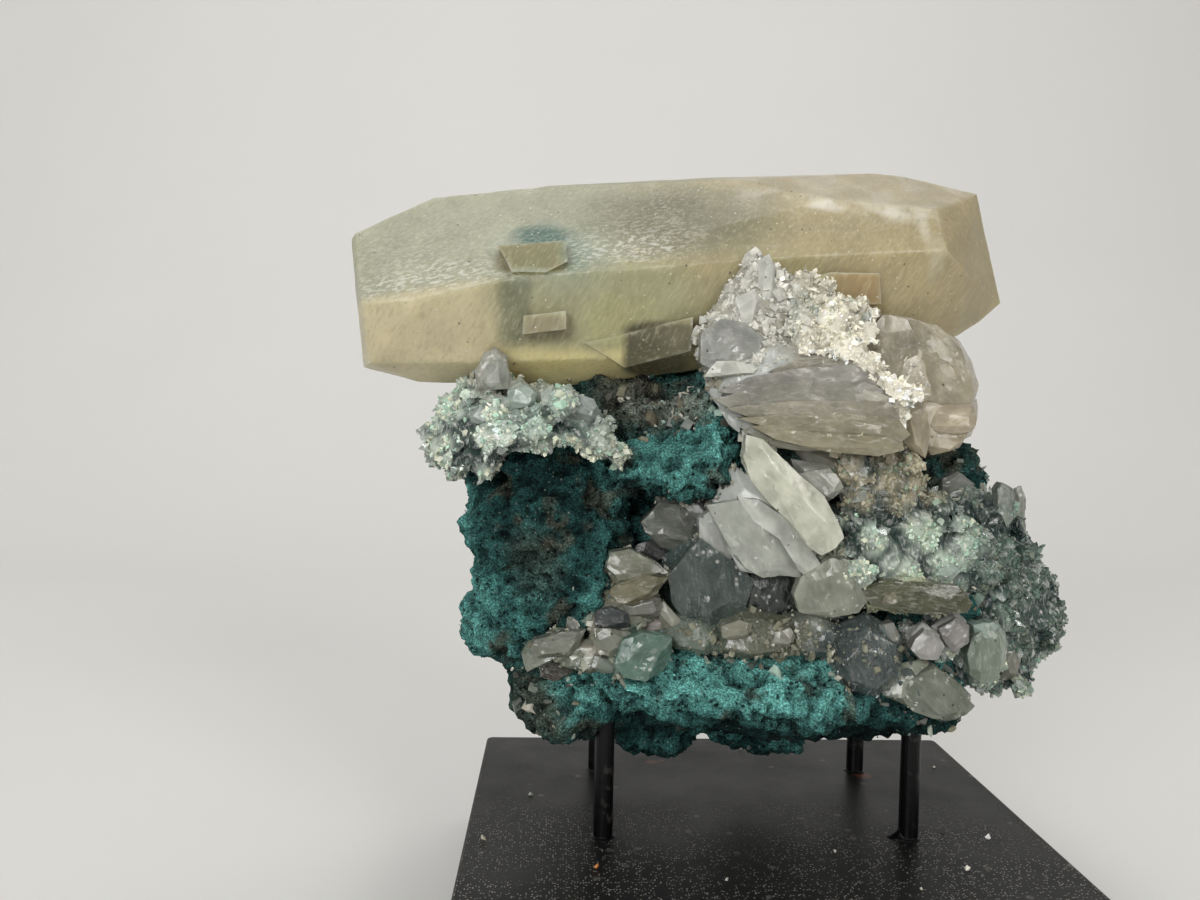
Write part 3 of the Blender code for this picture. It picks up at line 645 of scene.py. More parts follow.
def paint_finish():
    """Satin black paint with fine dust that lies heavier towards the front, and a few rusty spots."""
    material, tree, shader, place = finish("satin_black_paint", 0.4)[:4]
    parts = tree.nodes.new("ShaderNodeSeparateXYZ")
    tree.links.new(place, parts.inputs["Vector"])
    dust = placed_group(tree, "speckle", Size=2300.0, Share=0.45)
    lint = placed_group(tree, "speckle", Size=420.0, Share=0.05)
    cloud = added(tree, "ShaderNodeTexNoise", Scale=60.0, Detail=6.0, Roughness=0.7)
    fine = added(tree, "ShaderNodeTexNoise", Scale=2600.0, Detail=2.0)
    for group in (dust, lint, cloud, fine):
        tree.links.new(place, group.inputs["Vector"])
    front = ranged(tree, parts.outputs["Y"], 5 * MM, -38 * MM, 0.1, 3.2)
    patch = arithmetic(tree, "MULTIPLY", ranged(tree, cloud.outputs["Fac"], 0.36, 0.6), front)
    on_top = ranged(tree, parts.outputs["Z"], STAND_TOP - 1.2 * MM, STAND_TOP - 0.2 * MM, 0.12, 1.0)
    patch = arithmetic(tree, "MULTIPLY", patch, on_top)
    dusty = arithmetic(tree, "MULTIPLY", dust.outputs["Mask"], patch)
    dusty = arithmetic(tree, "MULTIPLY", dusty, 1.1)
    colour = mixed(tree, dusty, (0.005, 0.0055, 0.0055), (0.3, 0.29, 0.27))
    colour = dotted(tree, colour, lint, 0.22, (0.28, 0.27, 0.25))
    for x, y, reach in RUST_SPOTS:
        offset = tree.nodes.new("ShaderNodeVectorMath")
        offset.operation = "DISTANCE"
        offset.inputs[1].default_value = (x * MM, y * MM, STAND_TOP)
        tree.links.new(place, offset.inputs[0])
        spot = ranged(tree, offset.outputs["Value"], reach * MM, reach * 0.45 * MM, 0.0, 0.85)
        colour = mixed(tree, spot, colour, (0.12, 0.035, 0.014))
    tree.links.new(colour, shader.inputs["Base Color"])
    tree.links.new(ranged(tree, cloud.outputs["Fac"], 0.3, 0.7, 0.34, 0.5), shader.inputs["Roughness"])
    shader.inputs["Specular IOR Level"].default_value = 0.21
    bumped(tree, shader, fine.outputs["Fac"], 0.25, 0.06 * MM)
    return material


def rod_finish():
    """Black paint on the pins, slightly runny."""
    material, tree, shader, place = finish("black_rod_paint", 0.36)[:4]
    cloud = added(tree, "ShaderNodeTexNoise", Scale=500.0, Detail=4.0)
    tree.links.new(place, cloud.inputs["Vector"])
    runs = ranged(tree, cloud.outputs["Fac"], 0.62, 0.7)
    colour = mixed(tree, runs, (0.001, 0.001, 0.0015), (0.02, 0.019, 0.018))
    tree.links.new(colour, shader.inputs["Base Color"])
    shader.inputs["Specular IOR Level"].default_value = 0.2
    bumped(tree, shader, cloud.outputs["Fac"], 0.4, 0.2 * MM)
    return material


def plain_finish(name, colour, roughness):
    """One plain studio or crumb colour with a faint cloud in it."""
    material, tree, shader, place = finish(name, roughness)[:4]
    cloud = added(tree, "ShaderNodeTexNoise", Scale=6.0, Detail=3.0)
    tree.links.new(place, cloud.inputs["Vector"])
    lighter = tuple(min(1.0, part * 1.04) for part in colour)
    tree.links.new(mixed(tree, cloud.outputs["Fac"], colour, lighter), shader.inputs["Base Color"])
    return material


# Where things are, in millimetres: x, y and reach of the rusty spots on the base
RUST_SPOTS = ((-15.2, 22.5, 1.6), (-13.2, 23.5, 0.8), (27.5, 15.6, 2.2))

# Crumbs on the base: x, y, size and colour
CRUMBS = (
    (-47.5, -16, 1.5, (0.36, 0.34, 0.27)), (-28.5, -26, 1.1, (0.5, 0.2, 0.06)),
    (32, -26.5, 1.3, (0.7, 0.68, 0.6)), (40.5, -14.5, 1.2, (0.75, 0.74, 0.7)),
    (33.5, -12, 1.2, (0.05, 0.05, 0.045)), (12, -20, 0.8, (0.5, 0.48, 0.42)),
    (-8, -30, 0.7, (0.4, 0.4, 0.36)), (-40, 4, 0.9, (0.3, 0.3, 0.27)), (5, 30, 0.8, (0.45, 0.42, 0.36)),
    (-20, 33, 0.9, (0.06, 0.12, 0.11)), (44, 20, 0.8, (0.55, 0.53, 0.46)), (22, -33, 0.7, (0.6, 0.58, 0.5)),
)

# Tints over the rock: centre, half sizes, colour and strength
ROCK_PATCHES = (
    # The next two deep teal patches, below the top-left crust, are partly the rock's dark teal and partly
    # painted shade under that overhang
    ((-38, -20, 76), (14, 16, 11), TEAL_DEEP, 0.75),
    ((-26, -18, 74), (7, 16, 16), TEAL_DEEP, 0.6),
    ((-53, -12, 57), (7, 20, 12), TEAL_BRIGHT, 0.6),
    ((-16, -22, 84), (11, 14, 8), TEAL_BRIGHT, 0.45),
    ((-2, -26, 51), (22, 12, 6.5), TEAL_BRIGHT, 0.95),
    ((-25, -26, 47.5), (8, 9, 4), TEAL_BRIGHT, 1.0),
    ((21, -20, 42), (17, 14, 7), TEAL_DEEP, 0.75),
    ((-39, -18, 42), (6, 14, 7), ROCK_BROWN, 0.7),
    ((-40, -22, 67), (5, 6, 6), ROCK_BROWN, 0.45),
    ((-22, -14, 95), (10, 10, 6), ROCK_BROWN, 0.85),
    ((-20, -22, 94), (9, 10, 3), ROCK_PALE, 0.7),
    ((16, -16, 84), (14, 14, 8), ROCK_PALE, 0.5),
    ((38, -4, 84), (9, 12, 8), TEAL_DEEP, 0.5),
    ((0, -16, 58), (20, 8, 7), ROCK_BROWN, 0.6),
    ((30, 20, 85), (16, 14, 14), ROCK_PALE, 0.35),
    ((-30, 28, 60), (14, 12, 10), ROCK_BROWN, 0.5),
    ((10, 30, 50), (16, 12, 8), TEAL_BRIGHT, 0.4),
    ((-29, -26, 47), (8, 12, 4.5), TEAL_BRIGHT, 1.0),
    # Painted shadow: near black on the underside low at the front
    ((4, -22, 38), (28, 20, 5.5), (0.004, 0.015, 0.014), 0.95),
)

# Tints of single crystals: centre, half sizes and colour
CRYSTAL_TINTS = {
    "fan_crystals": (
        ((5, -22, 97), (40, 40, 40), (0.62, 0.6, 0.5)),
        ((-7, -22, 98), (9, 10, 9), (0.62, 0.65, 0.62)),
        ((30, -12, 98), (11, 16, 14), (0.74, 0.67, 0.53)),
        ((12, -27, 90), (10, 8, 5), (0.54, 0.5, 0.37)),
        ((-6, -20, 110), (8, 9, 9), (0.62, 0.6, 0.5)),
    ),
    "blade_crystals": (
        ((0, -22, 78), (40, 40, 40), (0.7, 0.72, 0.68)),
        ((3, -29, 79), (8, 5, 9), (0.92, 0.92, 0.8)),
        ((-15, -18, 74), (6, 9, 7), (0.12, 0.125, 0.115)),
        ((6, -24, 82), (5, 5, 4), (0.34, 0.35, 0.3)),
    ),
    "lower_crystals": (
        ((0, -22, 60), (50, 50, 50), (0.2, 0.225, 0.19)),
        ((-12, -20, 65), (8, 9, 8), (0.1, 0.145, 0.135)),
        ((-1, -19, 64), (7, 9, 5), (0.06, 0.08, 0.07)),
        ((9, -24, 65), (7, 8, 7), (0.46, 0.5, 0.41)),
        ((-4, -24, 57), (10, 8, 4), (0.16, 0.17, 0.12)),
        ((-14, -24, 57), (6, 8, 4), (0.2, 0.25, 0.2)),
        ((14, -26, 53), (9, 8, 9), (0.085, 0.11, 0.108)),
        ((27, -24, 48), (9, 9, 7), (0.36, 0.39, 0.31)),
    ),
    "left_lower_crystals": (
        ((-25, -25, 58), (40, 40, 40), (0.22, 0.23, 0.17)),
        ((-23, -24, 66), (7, 8, 6), (0.26, 0.26, 0.18)),
        ((-22, -27, 54), (6, 7, 4.5), (0.17, 0.28, 0.22)),
        ((-36, -22, 54), (7, 8, 5), (0.24, 0.27, 0.21)),
        ((-28, -25, 56), (4, 6, 4), (0.4, 0.38, 0.3)),
    ),
    "right_druse": (
        ((35, -15, 62), (60, 60, 60), (0.2, 0.26, 0.22)),
        ((21, -22, 71), (13, 12, 8), (0.46, 0.55, 0.455)),
        ((46, -8, 62), (14, 16, 15), (0.08, 0.12, 0.1)),
        ((30, -14, 82), (12, 14, 6), (0.12, 0.15, 0.125)),
        ((22, -25, 63.5), (11, 6, 3.5), (0.33, 0.34, 0.21)),
        ((38, -18, 53), (6, 8, 8), (0.32, 0.38, 0.32)),
        ((25, -22, 56), (5, 6, 4), (0.52, 0.53, 0.5)),
        ((31, -20, 58), (5, 6, 4), (0.34, 0.35, 0.33)),
        ((18, -20, 82), (10, 8, 8), (0.34, 0.31, 0.22)),
        ((48, -6, 76), (4, 5, 8), (0.24, 0.26, 0.22)),
    ),
    "top_left_druse": (
        ((-42, -18, 90), (60, 60, 60), (0.33, 0.38, 0.32)),
        ((-51, -16, 90), (10, 14, 8), (0.52, 0.6, 0.52)),
        ((-47, -17, 99), (4, 5, 5), (0.34, 0.34, 0.29)),
        ((-38, -24, 92), (8, 7, 4), (0.34, 0.42, 0.36)),
    ),
    "white_druse": (
        ((8, -22, 106), (60, 60, 60), (0.7, 0.67, 0.57)),
        ((1, -21, 108), (5, 6, 6), (0.55, 0.55, 0.48)),
    ),
}

# Crystals inside a crust that keep smooth faces: centre and half sizes
SMOOTH_IN_CRUST = {
    "right_druse": (
        ((22, -27, 63.5), (10, 5, 3.2)), ((38, -20, 53), (5.2, 7, 6.5)), ((25, -24, 56), (3.6, 5, 4)),
        ((30, -23, 58), (4.2, 5, 4)), ((48.5, -6, 76), (3, 4, 8)),
    ),
    "top_left_druse": (
        ((-47, -17, 99.5), (4, 5, 5)), ((-42, -19.5, 95), (3.5, 5, 3.6)), ((-37.5, -18, 95.5), (3, 5, 3)),
    ),
    "white_druse": (),
}


def rock_tint(points, facing, seed):
    """Colour of the rock: teal by noise, then the patches, then painted shade: deep teal and darker on
    downward faces.
    """
    wander = layered_noise(points, 9 * MM, seed + 3, 4, 0.6)
    colours = np.tile(np.array(TEAL), (len(points), 1))
    colours = blended(colours, TEAL_BRIGHT, np.clip(wander * 0.7 + 0.1, 0, 0.7))
    colours = blended(colours, TEAL_DEEP, np.clip(-wander * 1.0, 0, 0.9))
    for centre, radii, colour, strength in ROCK_PATCHES:
        ragged = within(points + 1.6 * MM * wander[:, None], centre, radii, 0.35)
        colours = blended(colours, colour, ragged * strength)
    brown = layered_noise(points, 5 * MM, seed + 20, 3, 0.6)
    colours = blended(colours, ROCK_BROWN, np.clip(brown * 2 - 1.0, 0, 0.75))
    # Painted shade: faces that turn downward go deep teal and down to half as bright
    low = np.clip(-facing[:, 2] - 0.25, 0, 1)
    return blended(colours, TEAL_DEEP, low * 0.75) * (1 - 0.5 * low)[:, None]


def build_rock(settings):
    """Make the crusted rock and the grains and fragments that sit on it.

    The skin moves along its normal by a(noise at 9 mm) + b(0.55 - distance to cell seeds at 3.4 mm)
    + c(0.45 - size of the noise at 6.5 mm) - d where noise at 1.8 mm opens a pore, and out in two bulges.
    """
    chance = np.random.default_rng(settings.seed)
    rock = fine_copy("rock", "matrix", settings.skin)
    points, facing = skin_of(rock.data)
    swell = layered_noise(points, 9 * MM, 5, 4, 0.55)
    warped = points + 0.9 * MM * swell[:, None]
    knob = cell_noise(warped, 3.4 * MM, 31)[0]
    crest = 0.45 - np.abs(layered_noise(warped * np.array((1.0, 1.0, 1.7)), 6.5 * MM, 47, 5, 0.62))
    pore = np.clip((layered_noise(warped, 1.8 * MM, 90, 2) - 0.2) * 3, 0, 1)
    rise = swell * settings.swell + (0.55 - knob) * settings.knobs
    rise = rise + crest * settings.crests - pore * settings.pores
    for centre, radii, height in ROCK_BULGES:
        rise = rise + height * MM * within(points, centre, radii, 0.4)
    moved(rock.data, points + facing * rise[:, None])
    colours = rock_tint(points, facing, settings.seed)
    # Painted light and shade: lighter on the crests, darker round the knobs and darkest in the pores
    shade = np.clip(0.95 + 0.5 * crest - 0.3 * np.clip(knob - 0.35, 0, 1) - 0.6 * pore, 0.2, 1.3)
    tinted(rock.data, colours * shade[:, None])
    settled(rock, rock_finish(), "teal_rock", "matrix")

    places, normals = picked(rock, lambda p, n: 0.35 + np.clip(n[:, 2] + 0.6, 0, 1), settings.grains, chance)
    # The grains take the rock's tint, with its painted shade on downward faces
    shades = rock_tint(places, normals, settings.seed) * chance.uniform(0.7, 1.35, (len(places), 1))
    sizes = chance.uniform(0.5, 1.0, len(places)) * settings.grain_size
    crust = joined("crust_grains", strewn(grain(), places, normals, sizes, shades, 0.5, chance))
    settled(crust, crust_finish("crust_grain", 0.9, 0.0, 0.25), "teal_rock")

    def rubble_share(p, n):
        share = 0.015 + 0 * p[:, 0]
        for centre, radii, weight in RUBBLE_ZONES:
            share = share + weight * within(p, centre, radii, 0.4)
        return share * np.clip(n[:, 2] + 0.9, 0.1, 1)

    places, normals = picked(rock, rubble_share, settings.fragments, chance)
    third = len(places) // 3
    shades = np.array(FRAGMENT_COLOURS)[chance.choice(len(FRAGMENT_SHARES), len(places), p=FRAGMENT_SHARES)]
    shades = shades * chance.uniform(0.6, 1.1, (len(places), 1))
    sizes = chance.uniform(0.5, 1.35, len(places)) ** 1.6 * MM
    parts = []
    for number, shape in enumerate((rhomb(), flake(), quartz_point())):
        part = slice(number * third, (number + 1) * third)
        parts.append(strewn(shape, places[part], normals[part], sizes[part], shades[part], 0.8, chance))
    rubble = joined("rock_fragments", *parts)
    settled(rubble, crust_finish("fragment_glass", 0.3, 0.35, 0.5), "mint_quartz")


# Bulges of the rock: centre, half sizes and height
ROCK_BULGES = (((43, 0, 84), (7, 14, 8), 2.4), ((-37, -16, 41), (9, 12, 8), 2.6))

# Colours of the loose fragments and the share of each
FRAGMENT_COLOURS = (SUGAR_WHITE, SUGAR_MINT, ROCK_PALE, (0.3, 0.28, 0.2), (0.2, 0.22, 0.2), (0.12, 0.12, 0.1))
FRAGMENT_SHARES = (0.12, 0.2, 0.2, 0.2, 0.16, 0.12)

# Where loose fragments crowd: centre, half sizes and weight
RUBBLE_ZONES = (
    ((-22, -22, 94), (11, 10, 5), 3.0), ((17, -18, 82), (12, 12, 8), 3.0), ((0, -24, 57), (22, 8, 5), 2.0),
    ((-36, -20, 44), (9, 12, 8), 0.5), ((34, -18, 58), (16, 14, 16), 1.6), ((-24, -22, 60), (7, 10, 8), 1.2),
    ((42, 8, 66), (16, 20, 20), 1.4), ((-46, 6, 88), (14, 16, 9), 1.2), ((6, 30, 78), (20, 12, 12), 0.9),
)


# Height below which the calcite's edges get no pale tint of wear and painted highlight
LOW_EDGES = 101 * MM


def calcite_ridge(x):
    """Height in millimetres of the ridge between the upper and lower front faces."""
    return 110.0 + (x + 68.8) * 0.161


def calcite_tint(points, facing):
    """Colour of the big crystal: honey, grey green upper left, olive in the lower middle, frost on top."""
    x = points[:, 0] / MM
    z = points[:, 2] / MM
    wander = layered_noise(points, 5 * MM, 12, 4)
    shifted = points + 0.45 * MM * wander[:, None]
    colours = np.tile(np.array((0.45, 0.385, 0.225)), (len(points), 1))
    left = np.clip((-2 - x) / 30, 0, 1)
    upper = np.clip((z - calcite_ridge(x) + 0.5) / 1.5, 0, 1)
    colours = blended(colours, (0.4, 0.415, 0.31), upper * left * 0.9)
    colours = blended(colours, (0.6, 0.54, 0.36), (1 - upper) * np.clip((-45 - x) / 6, 0, 1))
    for centre, radii, colour, strength, power, soft in CALCITE_PATCHES:
        colours = blended(colours, colour, within(shifted, centre, radii, soft, power) * strength)
    crest = 130.8 - (x + 4.2) * 0.119
    rind = np.exp(-((z - crest + 0.8 * wander) / 1.5) ** 2)
    rind = rind * np.clip((x + 8) / 8, 0, 1) * np.clip((30 - x) / 4, 0, 1)
    rind = rind * np.clip(0.7 + 1.2 * layered_noise(points, 3 * MM, 55, 3), 0, 1)
    colours = blended(colours, (0.85, 0.82, 0.74), rind * 0.8)
    top = np.clip(facing[:, 2] * 1.6 - 0.95, 0, 1) * np.clip((x + 12) / 12, 0, 1)
    patchy = np.clip(0.4 + 1.2 * layered_noise(points, 4 * MM, 66, 3), 0, 1)
    colours = blended(colours, (0.62, 0.54, 0.42), top * 0.8)
    colours = blended(colours, (0.85, 0.82, 0.74), top * patchy * 0.6)
    return colours * (1 + 0.07 * wander)[:, None]


# Tints in the big crystal: centre, half sizes, colour, strength, squareness and softness
CALCITE_PATCHES = (
    ((-30, -16, 110), (17, 12, 8), (0.4, 0.41, 0.25), 0.75, 4, 0.2),
    ((-43.6, -18, 109), (2.8, 8, 5.2), (0.2, 0.21, 0.13), 0.9, 4, 0.2),
    ((-26, -16, 108), (6, 8, 4), (0.46, 0.45, 0.22), 0.6, 2, 0.4),
    # Painted light: a bright honey glow on the shaded underside, where light shows through the crystal
    ((-32, -14, 99.5), (15, 8, 3.2), (0.95, 0.84, 0.43), 0.9, 4, 0.3),
    ((-19.6, -16, 102.8), (5.8, 9, 4.6), (0.09, 0.087, 0.055), 0.95, 5, 0.12),
    ((-14, -14, 104), (5, 8, 5), (0.24, 0.23, 0.14), 0.6, 2, 0.4),
    ((-37, -15, 118.5), (10, 8, 6.5), (0.38, 0.45, 0.38), 0.55, 2, 0.4),
    ((-39.2, -15, 122.1), (4.6, 7, 2.0), (0.035, 0.125, 0.1), 0.95, 4, 0.35),
    ((-41, -19, 118), (6.1, 5, 2.6), (0.28, 0.26, 0.15), 0.95, 6, 0.1),
    ((-33.6, -15, 118.2), (2.4, 8, 3.4), (0.2, 0.28, 0.22), 0.8, 2, 0.4),
    ((-37.8, -17, 106), (4, 5, 2), (0.3, 0.265, 0.16), 0.95, 6, 0.15),
    ((-16, -14, 126), (16, 12, 7), (0.19, 0.188, 0.115), 0.88, 2, 0.4),
    ((13, -17, 113.7), (4.8, 5, 2.8), (0.32, 0.22, 0.1), 0.9, 6, 0.12),
    ((0, -16, 112), (10, 6, 7), (0.42, 0.42, 0.24), 0.5, 2, 0.4),
    ((29, -12, 116), (8, 8, 9), (0.46, 0.39, 0.22), 0.6, 2, 0.4),
    ((37, -10, 120), (8, 14, 16), (0.45, 0.375, 0.23), 0.6, 4, 0.3),
    ((25.6, -16, 125.5), (1.0, 6, 3.5), (0.8, 0.76, 0.66), 0.6, 2, 0.5),
    ((27.5, -15, 119.5), (1.2, 6, 3.5), (0.72, 0.68, 0.56), 0.4, 2, 0.5),
    ((-57, -16, 104), (10, 10, 6), (0.62, 0.54, 0.35), 0.5, 4, 0.3),
)


def build_calcite(settings):
    """Make the long crystal, with faint hillocks and a rough band above the ridge on the left."""
    calcite = crisp_copy("calcite", "calcite_crystal", settings.skin)
    points, facing = skin_of(calcite.data)
    x = points[:, 0] / MM
    above = points[:, 2] / MM - calcite_ridge(x)
    band = np.exp(-((above - 2.6) / 3.2) ** 2) + 0.35 * np.exp(-((above - 9) / 5) ** 2)
    band = band * np.clip((above + 0.6) * 2, 0, 1) * np.clip((-10 - x) / 8, 0, 1)
    band = band * np.clip(-facing[:, 1] * 1.5, 0, 1)
    band = band * (1 - within(points, (-41, -19, 118), (6.6, 6, 3.0), 0.08, 6))
    band = np.clip(band * (0.75 + 0.5 * layered_noise(points, 6 * MM, 77, 3)), 0, 1)
    hillocks = layered_noise(points, 7 * MM, 8, 3) * settings.hillocks
    scales = cell_noise(points * np.array((0.45, 1.0, 1.6)), 1.1 * MM, 15)[0]
    rise = hillocks + (0.5 - scales) * settings.scales * band
    moved(calcite.data, points + facing * rise[:, None])
    edged(calcite.data, 18)
    # Pale edge tint: partly worn, frosty edges and partly painted highlight along the ridges
    wear_and_highlight = edge_sharpness(calcite.data) * np.clip(0.5 + layered_noise(points, 2 * MM, 93, 3), 0, 1)
    wear_and_highlight = wear_and_highlight * (points[:, 2] > LOW_EDGES)
    tinted(calcite.data, blended(calcite_tint(points, facing), (0.72, 0.7, 0.58), wear_and_highlight * 0.38))
    layer = calcite.data.attributes.new("sparkle", "FLOAT", "POINT")
    layer.data.foreach_set("value", band.astype(np.float32))
    settled(calcite, calcite_finish(), "honey_calcite", "calcite_crystal")


def crystal_tint(node, points, seed):
    """Colour of a cluster: its first tint everywhere, then one tint for each named crystal."""
    wander = layered_noise(points, 4 * MM, seed, 3)
    colours = np.tile(np.array(CRYSTAL_TINTS[node][0][2]), (len(points), 1))
    for centre, radii, colour in CRYSTAL_TINTS[node][1:]:
        colours = blended(colours, colour, within(points + 0.4 * MM * wander[:, None], centre, radii, 0.15))
    return colours * (1 + 0.18 * wander)[:, None]


def growth_way(node, points):
    """Coordinates along a cluster's growth, in metres: across, along and deep.

    The fan's turn about a point left of it: across is the angle times a mean radius, along the distance.
    The others turn the points about Y by the slant of their crystals.
    """
    if node == "fan_crystals":
        reach = points - np.array((-24.0, 0.0, 101.0)) * MM
        across = np.arctan2(reach[:, 2], reach[:, 0]) * 30 * MM
        along = np.hypot(reach[:, 0], reach[:, 2])
    else:
        slant = GROWTH_SLANT.get(node, 0.2)
        across = points[:, 0] * math.cos(slant) + points[:, 2] * math.sin(slant)
        along = points[:, 2] * math.cos(slant) - points[:, 0] * math.sin(slant)
    return np.stack([across, along, points[:, 1]], axis=1)


# Slant of each cluster's growth streaks from upright
GROWTH_SLANT = {"blade_crystals": 0.62, "lower_crystals": 0.3, "left_lower_crystals": -0.5}


def build_cluster(node, name, slot, material, skin, roughening, seed):
    """Make one cluster of grown-together crystals with slightly uneven, sharp-edged faces."""
    cluster = crisp_copy(name, node, skin)
    points, facing = skin_of(cluster.data)
    way = growth_way(node, points)
    crust = node in SMOOTH_IN_CRUST
    drawn = way if crust else way * np.array((1.0, 0.12, 0.6))
    hollow = np.zeros(len(points))
    rise = layered_noise(drawn, 1.4 * MM, seed, 3, 0.6) * roughening * 0.5
    rise = rise + facets(way * np.array((1.0, 0.4, 1.0)), 3.0 * MM, seed + 50) * roughening
    if crust:
        rough = 1 - smooth_share(node, points, 0.2)
        relief = 0.8 if node == "white_druse" else 1.0
        lumps = crust_lumps(points, seed)
        rise = rise + ((0.45 - lumps) * 3.1 + facets(points, 2.2 * MM, seed + 5) * 0.6) * MM * rough * relief
        # The crust's hollows go dark teal: partly the teal rock between the lumps and partly painted shade
        hollow = np.clip((lumps - 0.42) * 4, 0, 0.95) * rough * (0.1 if node == "white_druse" else 1.0)
    moved(cluster.data, points + facing * rise[:, None])
    tinted(cluster.data, blended(crystal_tint(node, points, seed), (0.02, 0.045, 0.042), hollow))
    layer = cluster.data.attributes.new("growth", "FLOAT_VECTOR", "POINT")
    layer.data.foreach_set("vector", way.astype(np.float32).ravel())
    edged(cluster.data, 24)
    return settled(cluster, material, slot, node)


def smooth_share(node, points, soft):
    """Mask of the crystals inside a crust that keep smooth faces."""
    share = np.zeros(len(points))
    for centre, radii in SMOOTH_IN_CRUST[node]:
        share = share + within(points, centre, radii, soft)
    return np.clip(share, 0, 1)


def crust_lumps(points, seed):
    """How far a point is from the middle of its lump of crust, in cells of 5 mm bent by noise."""
    bent = points + 0.9 * MM * layered_noise(points, 4 * MM, seed, 2)[:, None]
    return cell_noise(bent, 5.0 * MM, seed + 4)[0]


def strewn_halves(shapes, first, places, facing, sizes, shades, leans, chance):
    """Strew two small shapes: the first on the first places, the second on the rest."""
    parts = []
    for shape, part, lean in zip(shapes, (slice(first), slice(first, None)), leans):
        parts.append(strewn(shape, places[part], facing[part], sizes[part], shades[part], lean, chance))
    return parts


def overgrown(cluster, name, zones, slot, material, chance):
    """Stand crystals on parts of a cluster; a zone has a centre, half sizes, a count, sizes and a colour."""
    parts = []
    for centre, radii, count, low, high, colour in zones:
        def share(p, n, centre=centre, radii=radii):
            return within(p, centre, radii, 0.3) * np.clip(0.6 - n[:, 1], 0.05, 1)

        places, normals = picked(cluster, share, count, chance)
        lengths = (low + (high - low) * chance.random(count) ** 3) * MM
        places = places - normals * lengths[:, None] * 0.15
        shades = np.array(colour) * chance.uniform(0.65, 1.25, (count, 1))
        parts += strewn_halves(
            (quartz_point(), rhomb()), count // 2, places, normals, lengths, shades, (0.7, 0.8), chance)
    return settled(joined(name, *parts), material, slot)


# Small crystals on the larger ones: centre, half sizes, count, least and greatest length and colour
OVERGROWTH = {
    "fan_crystals": (
        ((-6, -20, 110), (11, 10, 9), 1050, 0.35, 1.6, (0.78, 0.77, 0.7)),
        ((-14, -20, 100), (5, 10, 8), 200, 0.3, 1.3, (0.4, 0.38, 0.3)),
        ((16, -24, 89), (10, 8, 4), 260, 0.3, 1.2, (0.66, 0.6, 0.44)),
        ((23, -20, 100), (2, 9, 9), 90, 0.3, 0.9, (0.8, 0.78, 0.7)),
    ),
    "blade_crystals": (
        ((-15, -18, 74), (7, 9, 8), 110, 0.3, 1.4, (0.4, 0.4, 0.36)),
        ((6, -20, 74), (7, 9, 6), 40, 0.3, 1.1, (0.9, 0.9, 0.84)),
    ),
    "lower_crystals": (
        ((0, -24, 56), (20, 9, 4), 520, 0.3, 1.3, (0.26, 0.26, 0.19)),
        ((9, -24, 65), (7, 9, 8), 60, 0.3, 1.2, (0.6, 0.6, 0.5)),
        ((-12, -20, 66), (8, 9, 8), 40, 0.3, 0.9, (0.4, 0.42, 0.4)),
        ((15, -26, 53), (9, 8, 8), 130, 0.25, 1.2, (0.11, 0.14, 0.135)),
        ((27, -24, 48), (9, 9, 7), 50, 0.3, 1.1, (0.5, 0.52, 0.46)),
    ),
    "left_lower_crystals": (
        ((-28, -25, 57), (14, 9, 9), 230, 0.3, 1.6, (0.3, 0.32, 0.25)),
        ((-20, -24, 66), (7, 8, 7), 70, 0.3, 1.3, (0.5, 0.48, 0.38)),
    ),
}


